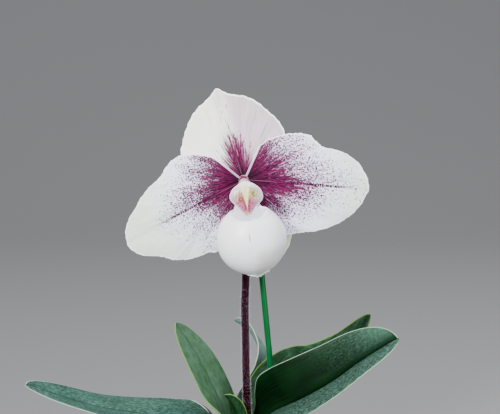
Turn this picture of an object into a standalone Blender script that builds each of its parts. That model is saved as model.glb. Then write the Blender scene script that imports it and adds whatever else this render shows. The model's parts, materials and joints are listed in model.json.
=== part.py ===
"""A slipper orchid in flower, staked, in a plain round pot of bark.

Metres, Z up. X runs to the viewer's right and Y away from the viewer.
The origin is the middle of the pot's foot.
The flower has a frame of its own: u to the right, v up its face, w out of its face.
"""
import math
import random

import bmesh
import bpy
import numpy as np
from mathutils import Vector

SEAT = 0.0003

# Pot, turned, outside sizes
POT_HEIGHT = 0.078
POT_FOOT_RADIUS = 0.0330
POT_TOP_RADIUS = 0.0425
POT_WALL = 0.0018
POT_FLOOR = 0.0025
RIM_HEIGHT = 0.010
RIM_STEP = 0.0022
DRAIN_RADIUS = 0.0035
DRAIN_RING = 0.019
DRAIN_COUNT = 4
POT_SEGMENTS = 40

# Bark medium
MEDIUM_TOP = 0.068
MEDIUM_DOME = 0.0015
CHIP_COUNT = 46
CHIP_LENGTH = 0.0125
CHIP_WIDTH = 0.0080
CHIP_HEIGHT = 0.0075
CHIP_SPREAD = 0.0335
CHIP_INNER = 0.0100
GOLDEN_ANGLE = math.radians(137.5)

# Crown: short stem on a root stock that stands in the medium
CROWN_RADIUS = 0.0050
CROWN_TOP = 0.098
ROOT_RADIUS = 0.0062
ROOT_FOOT = 0.040
ROOT_TOP = 0.0775

# Flower stem, ovary and stake
SCAPE_RADIUS = 0.00155
OVARY_FOOT = 0.176
STAKE_RADIUS = 0.0012
STAKE_FOOT = Vector((0.0190, 0.0030, 0.034))
STAKE_TOP = Vector((0.0050, 0.0034, 0.180))

# Flower
FLOWER_CENTRE = Vector((-0.0006, -0.0220, 0.2056))
FLOWER_TILT = math.radians(10.0)
TEPAL_THICKNESS = 0.0008
KEEL_WIDTH = 0.0028
RECEPTACLE_RADIUS = 0.00155
RECEPTACLE_FRONT = 0.0010
DORSAL_LENGTH = 0.0373
LEFT_PETAL_LENGTH = 0.0515
RIGHT_PETAL_LENGTH = 0.0488
SYNSEPAL_LENGTH = 0.0382

# Pouch, an egg-shaped shell in the flower's frame
POUCH_CENTRE = (0.0031, -0.0226, 0.0160)
POUCH_RADII = (0.0129, 0.0130, 0.0122)
POUCH_WALL = 0.0008
MOUTH_TILT = math.radians(16.0)
MOUTH_LEAN = math.radians(-6.0)
MOUTH_HALF_WIDTH = math.radians(31.0)
MOUTH_HALF_LENGTH = math.radians(41.0)
CLAW_TILT = math.radians(41.0)
CLAW_RISE = 0.64
CLAW_SPREAD = math.radians(12.0)

# Column with its shield
SHIELD_CENTRE = (0.00115, -0.0072)
SHIELD_BACK = 0.0128
SHIELD_EDGE = 0.0009
SHIELD_BULGE = 0.0014
COLUMN_RADIUS = 0.0024
COLUMN_CENTRE = (0.0004, -0.0018)

# Leaves
LEAF_THICKNESS = 0.0012
OUTER_SHEATH = 0.0089
MIDDLE_SHEATH = 0.0074
INNER_SHEATH = 0.0059
SHEATH_FOOT = 0.0800


def through(knots, values, at):
    """Read, at one place, the smooth curve that passes through the values at the knots."""
    knots = np.asarray(knots, float)
    values = np.asarray(values, float)
    slopes = np.gradient(values, knots, axis=0)
    i = int(np.clip(np.searchsorted(knots, at, side="right") - 1, 0, len(knots) - 2))
    step = knots[i + 1] - knots[i]
    t = (at - knots[i]) / step
    start = (1 + 2 * t) * (1 - t) ** 2 * values[i] + t * (1 - t) ** 2 * step * slopes[i]
    end = t * t * (3 - 2 * t) * values[i + 1] - t * t * (1 - t) * step * slopes[i + 1]
    return start + end


def chord_knots(points):
    """Distances along a run of points, from 0 at the first to 1 at the last."""
    steps = np.linalg.norm(np.diff(np.asarray(points, float), axis=0), axis=1)
    return (np.concatenate(([0.0], np.cumsum(steps))) / steps.sum()).tolist()


def flower_point(u, v, w):
    """Place a point of the flower's frame in the world."""
    up = Vector((0.0, math.sin(FLOWER_TILT), math.cos(FLOWER_TILT)))
    out = Vector((0.0, -math.cos(FLOWER_TILT), math.sin(FLOWER_TILT)))
    return FLOWER_CENTRE + Vector((u, 0.0, 0.0)) + float(v) * up + float(w) * out


def finish(name, red, green, blue, roughness):
    """Make a sub-part's own material."""
    material = bpy.data.materials.new(name)
    material.use_nodes = True
    shader = material.node_tree.nodes["Principled BSDF"]
    shader.inputs["Base Color"].default_value = (red, green, blue, 1.0)
    shader.inputs["Roughness"].default_value = roughness
    shader.inputs["Metallic"].default_value = 0.0
    return material


def solid(name, vertices, faces, material, crease=40.0):
    """Make one named object from a closed set of faces."""
    mesh = bpy.data.meshes.new(name)
    mesh.from_pydata([tuple(v) for v in vertices], [], faces)
    work = bmesh.new()
    work.from_mesh(mesh)
    bmesh.ops.recalc_face_normals(work, faces=work.faces)
    work.to_mesh(mesh)
    work.free()
    mesh.shade_smooth()
    mesh.set_sharp_from_angle(angle=math.radians(crease))
    mesh.materials.append(material)
    part = bpy.data.objects.new(name, mesh)
    bpy.context.scene.collection.objects.link(part)
    return part


def thicken(name, points, triangles, thickness, material):
    """Give a sheet of triangles two faces, split alike, and a wall round its free edges."""
    points = np.asarray(points, float)
    normals = np.zeros_like(points)
    for a, b, c in triangles:
        normal = np.cross(points[b] - points[a], points[c] - points[a])
        for corner in (a, b, c):
            normals[corner] += normal
    normals /= np.linalg.norm(normals, axis=1)[:, None]
    count = len(points)
    vertices = np.vstack((points + normals * thickness / 2, points - normals * thickness / 2))
    faces = [tuple(t) for t in triangles]
    faces += [(a + count, c + count, b + count) for a, b, c in triangles]
    edges = {(t[i], t[(i + 1) % 3]) for t in triangles for i in range(3)}
    for a, b in sorted(edges):
        if (b, a) not in edges:
            faces.append((b, a, a + count))
            faces.append((b, a + count, b + count))
    return solid(name, vertices, faces, material)


def grid_triangles(rows, columns, wrapped=False):
    """Split a grid of points into triangles, the diagonals mirrored about its middle."""
    triangles = []
    for i in range(rows - 1):
        for j in range(columns if wrapped else columns - 1):
            a = i * columns + j
            b = i * columns + (j + 1) % columns
            c, d = a + columns, b + columns
            if j < columns // 2:
                triangles += [(a, b, d), (a, d, c)]
            else:
                triangles += [(a, b, c), (b, d, c)]
    return triangles


def turned(name, profile, segments, material, place=(0.0, 0.0, 0.0)):
    """Turn a profile of (radius, height) that starts and ends on the axis."""
    vertices = [(place[0], place[1], place[2] + profile[0][1])]
    for radius, height in profile[1:-1]:
        for k in range(segments):
            angle = math.tau * k / segments
            vertices.append((place[0] + radius * math.cos(angle),
                             place[1] + radius * math.sin(angle), place[2] + height))
    vertices.append((place[0], place[1], place[2] + profile[-1][1]))
    last = len(vertices) - 1
    faces = []
    for k in range(segments):
        nxt = (k + 1) % segments
        faces.append((0, 1 + k, 1 + nxt))
        for ring in range(len(profile) - 3):
            a, b = 1 + ring * segments, 1 + (ring + 1) * segments
            faces.append((a + k, b + k, b + nxt, a + nxt))
        faces.append((last, last - segments + nxt, last - segments + k))
    return solid(name, vertices, faces, material)


def stem(name, points, radii, rings, sides, material, rib=0.0):
    """Sweep a round or ribbed section along a smooth curve, with flat ends."""
    knots = chord_knots(points)
    places = [Vector(through(knots, points, k / (rings - 1))) for k in range(rings)]
    widths = [float(through(knots, radii, k / (rings - 1))) for k in range(rings)]
    side = Vector((1.0, 0.0, 0.0))
    vertices = []
    for k in range(rings):
        along = (places[min(k + 1, rings - 1)] - places[max(k - 1, 0)]).normalized()
        side = (side - side.dot(along) * along).normalized()
        other = along.cross(side)
        for j in range(sides):
            angle = math.tau * j / sides
            reach = widths[k] * (1.0 + rib * math.cos(angle * sides / 2))
            vertices.append(places[k] + reach * (math.cos(angle) * side + math.sin(angle) * other))
    faces = [tuple(range(sides)), tuple(range((rings - 1) * sides, rings * sides))]
    for k in range(rings - 1):
        for j in range(sides):
            a, b = k * sides + j, k * sides + (j + 1) % sides
            faces.append((a, b, b + sides, a + sides))
    return solid(name, vertices, faces, material)


def combine(target, operation, others, solver="EXACT"):
    """Join or cut a solid with a group of others, which are then removed."""
    group = bpy.data.collections.new("tools")
    for other in others:
        bpy.context.scene.collection.objects.unlink(other)
        group.objects.link(other)
    bpy.context.scene.collection.children.link(group)
    modifier = target.modifiers.new(operation.title(), "BOOLEAN")
    modifier.operation = operation
    modifier.solver = solver
    modifier.operand_type = "COLLECTION"
    modifier.collection = group
    graph = bpy.context.evaluated_depsgraph_get()
    result = bpy.data.meshes.new_from_object(target.evaluated_get(graph))
    target.modifiers.remove(modifier)
    target.data = result
    for other in list(group.objects):
        bpy.data.objects.remove(other)
    bpy.data.collections.remove(group)


def keep_largest(target):
    """Fill the small hollows that joining has sealed in, and drop loose scraps."""
    work = bmesh.new()
    work.from_mesh(target.data)
    left = set(work.verts)
    groups = []
    while left:
        edge_of_group = [left.pop()]
        group = set(edge_of_group)
        while edge_of_group:
            vertex = edge_of_group.pop()
            near = {edge.other_vert(vertex) for edge in vertex.link_edges} & left
            left -= near
            group |= near
            edge_of_group += list(near)
        groups.append(group)
    largest = max(groups, key=len)
    scraps = [vertex for group in groups if group is not largest for vertex in group]
    bmesh.ops.delete(work, geom=scraps, context="VERTS")
    work.to_mesh(target.data)
    work.free()


def pot_inner_radius(height):
    """Inside radius of the pot's wall at a height."""
    slope = (POT_TOP_RADIUS - POT_FOOT_RADIUS) / (POT_HEIGHT - RIM_HEIGHT)
    return POT_FOOT_RADIUS + slope * height - POT_WALL


def make_pot():
    plastic = finish("pot_plastic", 0.020, 0.022, 0.024, 0.42)
    shoulder = POT_HEIGHT - RIM_HEIGHT
    profile = [
        (0.0, 0.0),
        (POT_FOOT_RADIUS, 0.0),
        (POT_TOP_RADIUS, shoulder),
        (POT_TOP_RADIUS + RIM_STEP, shoulder + 0.0008),
        (POT_TOP_RADIUS + RIM_STEP + 0.0006, POT_HEIGHT - 0.0008),
        (POT_TOP_RADIUS + RIM_STEP, POT_HEIGHT),
        (pot_inner_radius(POT_HEIGHT) + 0.0006, POT_HEIGHT),
        (pot_inner_radius(POT_HEIGHT), POT_HEIGHT - 0.0006),
        (pot_inner_radius(POT_FLOOR), POT_FLOOR),
        (0.0, POT_FLOOR),
    ]
    pot = turned("pot", profile, POT_SEGMENTS, plastic)
    drains = []
    for k in range(DRAIN_COUNT):
        angle = math.tau * (k + 0.5) / DRAIN_COUNT
        place = (DRAIN_RING * math.cos(angle), DRAIN_RING * math.sin(angle), -0.001)
        hole = [(0.0, 0.0), (DRAIN_RADIUS, 0.0), (DRAIN_RADIUS, 0.005), (0.0, 0.005)]
        drains.append(turned("drain", hole, 12, plastic, place))
    combine(pot, "DIFFERENCE", drains)
    pot.data.set_sharp_from_angle(angle=math.radians(40.0))
    return pot


def bark_chip(draw, place, yaw, material):
    """One rough, tilted piece of bark: a box with its corners drawn in unevenly."""
    sizes = [s * draw.uniform(0.75, 1.2) / 2 for s in (CHIP_LENGTH, CHIP_WIDTH, CHIP_HEIGHT)]
    lean = draw.uniform(-0.35, 0.35)
    tip = draw.uniform(-0.3, 0.3)
    corners = []
    for z in (-1, 1):
        for x, y in ((-1, -1), (1, -1), (1, 1), (-1, 1)):
            shrink = draw.uniform(0.72, 1.0)
            px = x * sizes[0] * shrink
            py = y * sizes[1] * shrink
            pz = z * sizes[2] * draw.uniform(0.8, 1.0) + lean * px + tip * py
            corners.append((place[0] + px * math.cos(yaw) - py * math.sin(yaw),
                            place[1] + px * math.sin(yaw) + py * math.cos(yaw), place[2] + pz))
    quads = [(0, 3, 2, 1), (4, 5, 6, 7), (0, 1, 5, 4), (1, 2, 6, 5), (2, 3, 7, 6), (3, 0, 4, 7)]
    faces = []
    for a, b, c, d in quads:
        faces += [(a, b, c), (a, c, d)]
    return solid("chip", corners, faces, material)


def make_medium():
    bark = finish("bark", 0.130, 0.060, 0.030, 0.85)
    floor = POT_FLOOR + SEAT
    profile = [
        (0.0, floor),
        (pot_inner_radius(floor) - SEAT, floor),
        (pot_inner_radius(MEDIUM_TOP) - SEAT, MEDIUM_TOP),
        (0.0, MEDIUM_TOP + MEDIUM_DOME),
    ]
    medium = turned("growing_medium", profile, POT_SEGMENTS, bark)
    draw = random.Random(7)
    chips = []
    for k in range(CHIP_COUNT):
        share = (k + 0.5) / CHIP_COUNT
        reach = CHIP_INNER + (CHIP_SPREAD - CHIP_INNER) * math.sqrt(share)
        angle = k * GOLDEN_ANGLE
        height = MEDIUM_TOP + draw.uniform(0.0003, 0.0022)
        place = (reach * math.cos(angle), reach * math.sin(angle), height)
        chips.append(bark_chip(draw, place, angle + math.pi / 2 + draw.uniform(-0.7, 0.7), bark))
    combine(medium, "UNION", chips)
    wide = ROOT_RADIUS + SEAT
    crown_hole = turned("crown_hole", [(0.0, ROOT_FOOT - SEAT), (wide, ROOT_FOOT - SEAT), (wide, 0.1),
                                       (0.0, 0.1)], 16, bark)
    along = (STAKE_TOP - STAKE_FOOT).normalized()
    wide = STAKE_RADIUS + SEAT
    ends = [STAKE_FOOT - SEAT * along, STAKE_FOOT + 0.07 * along]
    stake_hole = stem("stake_hole", ends, [wide, wide], 2, 12, bark)
    combine(medium, "DIFFERENCE", [crown_hole, stake_hole])
    keep_largest(medium)
    medium.data.shade_flat()
    return medium


def make_crown():
    """Short stem on its root stock, which stands in the hole in the bark."""
    tissue = finish("crown_tissue", 0.170, 0.190, 0.060, 0.60)
    profile = [
        (0.0, ROOT_FOOT),
        (ROOT_RADIUS * 0.7, ROOT_FOOT),
        (ROOT_RADIUS, ROOT_FOOT + 0.006),
        (ROOT_RADIUS, ROOT_TOP - 0.003),
        (CROWN_RADIUS, ROOT_TOP),
        (CROWN_RADIUS, CROWN_TOP - 0.003),
        (CROWN_RADIUS * 0.75, CROWN_TOP),
        (0.0, CROWN_TOP),
    ]
    return turned("crown", profile, 16, tissue)


def make_stake():
    green = finish("stake_green", 0.003, 0.210, 0.058, 0.30)
    along = (STAKE_TOP - STAKE_FOOT).normalized()
    points = [STAKE_FOOT, STAKE_FOOT + 0.0008 * along, STAKE_TOP - 0.0008 * along, STAKE_TOP]
    vertices = []
    side = Vector((0.0, 1.0, 0.0)).cross(along).normalized()
    other = along.cross(side)
    for k, point in enumerate(points):
        reach = STAKE_RADIUS * (0.6 if k in (0, 3) else 1.0)
        for j in range(10):
            angle = math.tau * j / 10
            vertices.append(point + reach * (math.cos(angle) * side + math.sin(angle) * other))
    faces = [tuple(range(10)), tuple(range(30, 40))]
    for k in range(3):
        for j in range(10):
            a, b = k * 10 + j, k * 10 + (j + 1) % 10
            faces.append((a, b, b + 10, a + 10))
    return solid("stake", vertices, faces, green)


def make_leaf(name, material, rib, azimuth, sheath, sheath_top, width, rise=0.45, blunt=8.0,
              taper=0.0, fold=0.0, roll=0.0, tip_roll=0.0, wave=0.0, waves=2.0, half_turn=70.0,
              thickness=LEAF_THICKNESS, rows=17, columns=7, sheath_foot=SHEATH_FOOT):
    """A strap leaf that clasps the crown with its sheath and opens into a channelled blade.

    rib: the midrib's points past the sheath. azimuth: the side of the crown that it clasps.
    fold: how far each half is lifted, roll: how far the far half is turned up, in degrees.
    tip_roll: how much further it is turned in its last part.
    """
    azimuth = math.radians(azimuth)
    outward = Vector((math.cos(azimuth), math.sin(azimuth), 0.0))
    across = Vector((-math.sin(azimuth), math.cos(azimuth), 0.0))
    foot = sheath * outward + Vector((0.0, 0.0, sheath_foot))
    top = sheath * outward + Vector((0.0, 0.0, sheath_top))
    points = [foot, (foot + top) / 2, top] + [Vector(p) for p in rib]
    knots = chord_knots(points)
    open_from = knots[2]
    half_base = sheath * math.radians(half_turn)
    middle = columns // 2
    vertices = []
    for i in range(rows):
        s = 1.0 - (1.0 - i / (rows - 1)) ** 1.5
        place = Vector(through(knots, points, s))
        ahead = Vector(through(knots, points, min(s + 0.01, 1.0)))
        behind = Vector(through(knots, points, max(s - 0.01, 0.0)))
        along = (ahead - behind).normalized()
        opened = min(max((s - open_from) / (0.75 * rise), 0.0), 1.0)
        opened = opened * opened * (3 - 2 * opened)
        grown = min(max((s - open_from) / (rise - open_from), 0.0), 1.0)
        grown = grown * grown * (3 - 2 * grown)
        half = half_base + (width / 2 - half_base) * grown
        half *= (1.0 - taper * max(s - rise, 0.0)) * math.sqrt(max(1.0 - s ** blunt, 0.0))
        turn = math.radians(roll * opened + tip_roll * min(max((s - 0.65) / 0.25, 0.0), 1.0))
        side = (across - across.dot(along) * along).normalized()
        up = along.cross(side)
        side, up = (math.cos(turn) * side + math.sin(turn) * up,
                    math.cos(turn) * up - math.sin(turn) * side)
        if i == rows - 1:
            vertices.append(place)
            continue
        curl = (1.0 - opened) / sheath - opened * 0.16 / (width / 2)
        lift = math.radians(fold) * opened
        step = half / middle
        row = [place] * columns
        for direction in (-1, 1):
            spot = place.copy()
            for k in range(1, middle + 1):
                angle = lift + curl * step * (k - 0.5)
                spot = spot + step * (direction * math.cos(angle) * side + math.sin(angle) * up)
                ripple = wave * math.sin(math.tau * waves * s + direction) * (k / middle) ** 2
                row[middle + direction * k] = spot + opened * ripple * up
        vertices += row
    triangles = grid_triangles(rows - 1, columns)
    tip = len(vertices) - 1
    last = tip - columns
    triangles += [(last + j, last + j + 1, tip) for j in range(columns - 1)]
    return thicken(name, vertices, triangles, thickness, material)


def make_leaves():
    blue_green = finish("leaf_mottled", 0.105, 0.235, 0.165, 0.50)
    plain_green = finish("leaf_plain", 0.160, 0.290, 0.150, 0.50)
    deep_green = finish("leaf_dark", 0.018, 0.085, 0.035, 0.45)
    pale_green = finish("leaf_pale", 0.220, 0.340, 0.270, 0.55)
    make_leaf("leaf_left_low", blue_green,
              [(-0.0150, -0.0055, 0.1006), (-0.0260, -0.0110, 0.1056), (-0.0400, -0.0180, 0.1103),
               (-0.0586, -0.0280, 0.1168), (-0.0714, -0.0350, 0.1230), (-0.0838, -0.0420, 0.1301)],
              azimuth=200.0, sheath=OUTER_SHEATH, sheath_top=0.0900, width=0.031, rise=0.31, blunt=5.0,
              taper=0.72, fold=8.0, roll=-14.0, wave=0.0008, waves=1.6, half_turn=48.0)
    make_leaf("leaf_left_upper", plain_green,
              [(-0.0100, 0.0020, 0.1080), (-0.0146, 0.0035, 0.1185), (-0.0203, 0.0060, 0.1290),
               (-0.0286, 0.0090, 0.1410)],
              azimuth=172.0, sheath=MIDDLE_SHEATH, sheath_top=0.0960, width=0.0180, blunt=3.4,
              fold=10.0, roll=-35.0, wave=0.0004, half_turn=55.0)
    make_leaf("leaf_right_front", deep_green,
              [(0.0092, -0.0018, 0.1042), (0.0126, -0.0050, 0.1080), (0.0172, -0.0082, 0.1112),
               (0.0232, -0.0105, 0.1148), (0.0347, -0.0130, 0.1223), (0.0471, -0.0138, 0.1317),
               (0.0612, -0.0138, 0.1408)],
              azimuth=8.0, sheath=MIDDLE_SHEATH, sheath_top=0.1000, width=0.034, rise=0.37, blunt=7.0,
              taper=0.25, fold=40.0, roll=37.5, wave=0.0006, half_turn=62.0)
    make_leaf("leaf_right_back", plain_green,
              [(0.0062, 0.0115, 0.1040), (0.0104, 0.0160, 0.1090), (0.0168, 0.0195, 0.1140),
               (0.0296, 0.0228, 0.1195), (0.0400, 0.0250, 0.1265), (0.0526, 0.0280, 0.1400)],
              azimuth=60.0, sheath=OUTER_SHEATH, sheath_top=0.0930, width=0.028, blunt=2.6,
              taper=0.5, fold=45.0, roll=30.0, wave=0.0006, half_turn=29.0)
    make_leaf("leaf_back", pale_green,
              [(-0.0030, 0.0140, 0.1035), (0.0012, 0.0205, 0.1115), (0.0055, 0.0255, 0.1185),
               (0.0062, 0.0290, 0.1246), (0.0036, 0.0330, 0.1300), (0.0000, 0.0370, 0.1330),
               (-0.0046, 0.0405, 0.1345)],
              azimuth=121.0, sheath=OUTER_SHEATH, sheath_top=0.0920, width=0.0100, blunt=9.0,
              fold=15.0, roll=36.0, tip_roll=22.0, half_turn=21.0)
    make_leaf("leaf_young", deep_green,
              [(-0.0038, -0.0066, 0.1085), (-0.0054, -0.0084, 0.1127), (-0.0080, -0.0100, 0.1162)],
              azimuth=236.0, sheath=INNER_SHEATH, sheath_top=0.1025, width=0.0140, blunt=4.0,
              fold=36.0, roll=8.0, half_turn=49.0, rows=11)


def make_tepal(name, material, length, outline, midrib, base_depth, sag, keel, ripple, ripples,
               cup=0.0, rows=7, between=2):
    """A sepal or petal as a fan round the flower's centre.

    outline: its reach, as a share of its length, at angles in degrees from the flower's right.
    sag: how far its tip lies back. cup: how far its sides come forward. keel: its midrib crease.
    """
    angles = [math.radians(a) for a, _ in outline]
    reaches = [r * length for _, r in outline]
    inner = RECEPTACLE_RADIUS + SEAT + 0.0001
    columns = (len(outline) - 1) * between + 1
    vertices = []
    for i in range(rows):
        share = (i / (rows - 1)) ** 0.9
        for j in range(columns):
            angle = float(np.interp(j / between, range(len(angles)), angles))
            reach = float(through(angles, reaches, angle))
            distance = inner + (reach - inner) * share
            off_rib = angle - math.radians(midrib)
            portion = distance / length
            depth = base_depth - sag * portion ** 2 + cup * portion ** 2 * off_rib ** 2
            depth -= keel * math.exp(-(off_rib * distance / KEEL_WIDTH) ** 2)
            depth += ripple * math.sin(ripples * off_rib + 0.6) * (distance / reach) ** 3 * portion
            vertices.append(flower_point(distance * math.cos(angle), distance * math.sin(angle), depth))
    triangles = grid_triangles(rows, columns)
    return thicken(name, vertices, triangles, TEPAL_THICKNESS, material)


def make_tepals():
    white = finish("petal_white", 0.760, 0.745, 0.790, 0.55)
    cream = finish("sepal_cream", 0.740, 0.720, 0.660, 0.55)
    dorsal = [(22, 0.29), (34, 0.50), (47, 0.64), (60, 0.72), (71.5, 0.77), (82, 0.84), (90, 0.88),
              (98, 0.905), (103.5, 0.955), (106, 1.0), (109.5, 0.965), (115, 0.918), (121, 0.895),
              (127, 0.868), (138, 0.802), (149, 0.743), (159, 0.69), (167, 0.52), (173, 0.27)]
    make_tepal("dorsal_sepal", cream, DORSAL_LENGTH, dorsal, 106.0, -0.0018, 0.0030, 0.0008, 0.0012, 3.1)
    left = [(141, 0.26), (147, 0.336), (153, 0.425), (158.7, 0.507), (165, 0.56), (171.3, 0.596),
            (178.6, 0.634), (183.7, 0.703), (188.9, 0.773), (195.7, 0.861), (200, 0.933), (204, 0.975),
            (208.7, 1.0), (212.5, 0.992), (217.7, 0.933), (222.5, 0.85), (227.2, 0.812), (233, 0.752),
            (238, 0.691), (244, 0.609), (250.4, 0.57), (257, 0.46), (263, 0.25)]
    make_tepal("petal_left", white, LEFT_PETAL_LENGTH, left, 208.0, 0.0005, 0.0055, 0.0004, 0.0016, 4.3)
    right = [(-76, 0.23), (-67, 0.42), (-58, 0.52), (-49, 0.573), (-42, 0.623), (-33.8, 0.719),
             (-24.4, 0.83), (-18.6, 0.893), (-13.6, 0.94), (-8.4, 0.975), (-3.9, 1.0), (3.3, 0.966),
             (9.5, 0.911), (14.1, 0.844), (18, 0.775), (21, 0.705), (25, 0.668), (29.6, 0.648),
             (33.3, 0.639), (38.5, 0.592), (47.3, 0.495), (53, 0.43), (59.6, 0.367), (66, 0.277)]
    make_tepal("petal_right", white, RIGHT_PETAL_LENGTH, right, -4.0, 0.0005, 0.0050, 0.0004, 0.0014, 4.6)
    lower = [(203, 0.24), (212, 0.40), (223, 0.54), (236, 0.66), (250, 0.75), (262, 0.86), (272, 0.96),
             (278.6, 1.0), (285, 0.965), (295, 0.885), (306, 0.80), (318, 0.65), (329, 0.46), (338, 0.25)]
    make_tepal("synsepal", cream, SYNSEPAL_LENGTH, lower, 278.6, -0.0020, 0.0034, 0.0006, 0.0008, 3.0,
               rows=6)


def make_pouch():
    """The lip: a hollow shell, open at the top, drawn up behind into a claw."""
    white = finish("pouch_white", 0.830, 0.830, 0.870, 0.45)
    ahead = np.array((0.0, -math.sin(MOUTH_TILT), math.cos(MOUTH_TILT)))
    mouth = np.array((math.sin(MOUTH_LEAN), math.cos(MOUTH_LEAN) * math.cos(MOUTH_TILT),
                      math.cos(MOUTH_LEAN) * math.sin(MOUTH_TILT)))
    beside = np.cross(mouth, ahead)
    claw = np.array((math.sin(MOUTH_LEAN), math.cos(CLAW_TILT), -math.sin(CLAW_TILT)))
    rows, columns = 13, 24
    shell = [tuple(flower_point(*[POUCH_CENTRE[k] - POUCH_RADII[k] * mouth[k] for k in range(3)]))]
    for i in range(1, rows):
        for j in range(columns):
            around = math.tau * j / columns
            opening = 1.0 / math.hypot(math.cos(around) / MOUTH_HALF_WIDTH,
                                       math.sin(around) / MOUTH_HALF_LENGTH)
            polar = (math.pi - opening) * (i / (rows - 1)) ** 0.78
            across = math.cos(around) * beside + math.sin(around) * ahead
            direction = math.sin(polar) * across - math.cos(polar) * mouth
            off_claw = math.acos(min(max(float(direction @ claw), -1.0), 1.0))
            rise = 1.0 + CLAW_RISE * math.exp(-(off_claw / CLAW_SPREAD) ** 2 / 2)
            spot = [POUCH_CENTRE[k] + POUCH_RADII[k] * rise * direction[k] for k in range(3)]
            shell.append(tuple(flower_point(*spot)))
    triangles = [(0, 1 + (j + 1) % columns, 1 + j) for j in range(columns)]
    for a, b, c in grid_triangles(rows - 1, columns, wrapped=True):
        triangles.append((a + 1, b + 1, c + 1))
    return thicken("pouch", shell, triangles, POUCH_WALL, white)


def make_column():
    """The column: a short stub that carries the shield-shaped staminode."""
    pink = finish("column_pink", 0.720, 0.480, 0.540, 0.50)
    edge = [(-90, 6.8), (-80, 6.6), (-65, 5.7), (-42, 4.9), (-20, 5.2), (0, 6.2), (30, 6.4), (60, 6.2),
            (82, 6.4), (98, 6.6), (120, 6.1), (150, 6.3), (180, 6.3), (200, 5.4), (214, 4.9), (228, 4.9),
            (245, 5.3), (260, 6.2), (270, 6.8)]
    angles = [math.radians(a) for a, _ in edge]
    reaches = [r * 0.001 for _, r in edge]
    sides = 24
    levels = [(0.0, 0.0013, 0.0), (1.0, 0.0013, 0.0), (0.9, 0.0080, 0.15), (0.95, 0.0112, 0.55)]
    vertices = [flower_point(COLUMN_CENTRE[0], COLUMN_CENTRE[1], levels[0][1])]
    for scale, depth, drift in levels[1:]:
        cu = COLUMN_CENTRE[0] + drift * (SHIELD_CENTRE[0] - COLUMN_CENTRE[0])
        cv = COLUMN_CENTRE[1] + drift * (SHIELD_CENTRE[1] - COLUMN_CENTRE[1])
        for j in range(sides):
            angle = -math.pi / 2 + math.tau * j / sides
            reach = COLUMN_RADIUS * scale
            vertices.append(flower_point(cu + reach * math.cos(angle), cv + reach * math.sin(angle), depth))
    rings = [(0.97, SHIELD_BACK), (1.0, SHIELD_BACK + SHIELD_EDGE),
             (0.8, SHIELD_BACK + SHIELD_EDGE + 0.55 * SHIELD_BULGE),
             (0.42, SHIELD_BACK + SHIELD_EDGE + 0.92 * SHIELD_BULGE)]
    for scale, depth in rings:
        for j in range(sides):
            angle = -math.pi / 2 + math.tau * j / sides
            reach = float(through(angles, reaches, angle)) * scale
            vertices.append(flower_point(SHIELD_CENTRE[0] + reach * math.cos(angle),
                                         SHIELD_CENTRE[1] + reach * math.sin(angle), depth))
    vertices.append(flower_point(SHIELD_CENTRE[0], SHIELD_CENTRE[1], SHIELD_BACK + SHIELD_EDGE + SHIELD_BULGE))
    last = len(vertices) - 1
    faces = []
    for j in range(sides):
        nxt = (j + 1) % sides
        faces.append((0, 1 + nxt, 1 + j))
        for ring in range(6):
            a, b = 1 + ring * sides, 1 + (ring + 1) * sides
            faces.append((a + j, a + nxt, b + nxt, b + j))
        faces.append((last, last - sides + j, last - sides + nxt))
    return solid("column", vertices, faces, pink, crease=60.0)


def make_stems():
    maroon = finish("scape_maroon", 0.060, 0.014, 0.022, 0.60)
    scape_points = [(0.0009, 0.0, CROWN_TOP + SEAT), (0.00075, 0.0, 0.107), (0.0003, 0.0, 0.122),
                    (0.00015, 0.0, 0.136), (-0.00015, 0.0, 0.150), (0.0002, 0.0, 0.163),
                    (0.0, 0.0, OVARY_FOOT)]
    stem("scape", scape_points, [SCAPE_RADIUS * 1.12] + [SCAPE_RADIUS] * 6, 15, 10, maroon)
    purple = finish("ovary_purple", 0.150, 0.075, 0.060, 0.60)
    front = flower_point(0.0, 0.0, RECEPTACLE_FRONT)
    neck = flower_point(0.0, 0.0, -0.0024)
    back = flower_point(0.0, -0.0002, -0.0045)
    ovary_points = [(0.0, 0.0, OVARY_FOOT + SEAT), (0.0, 0.0002, 0.184), (-0.0002, -0.0022, 0.194),
                    (-0.0004, -0.0090, 0.2008), back, neck, front]
    radii = [0.0016, 0.0019, 0.0023, 0.0023, 0.0020, RECEPTACLE_RADIUS, RECEPTACLE_RADIUS]
    stem("ovary", ovary_points, radii, 21, 12, purple, rib=0.05)
    green = finish("bract_green", 0.120, 0.130, 0.050, 0.60)
    make_leaf("bract", green, [(0.0, 0.0042, 0.1850), (0.0, 0.0058, 0.1900), (0.0, 0.0082, 0.1945)],
              azimuth=90.0, sheath=0.0026, sheath_foot=0.1735, sheath_top=0.1800, width=0.0085, rise=0.4,
              blunt=3.0, taper=0.5, half_turn=105.0, thickness=0.0006, rows=9)


for leftover in list(bpy.data.objects):
    bpy.data.objects.remove(leftover)

make_pot()
make_medium()
make_crown()
make_stake()
make_leaves()
make_stems()
make_tepals()
make_pouch()
make_column()
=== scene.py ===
"""A slipper orchid in flower, staked, in a plain round pot of bark: its finished look."""

import json
import math
import random

import bmesh
import bpy
import numpy as np
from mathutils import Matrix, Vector, noise

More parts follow.
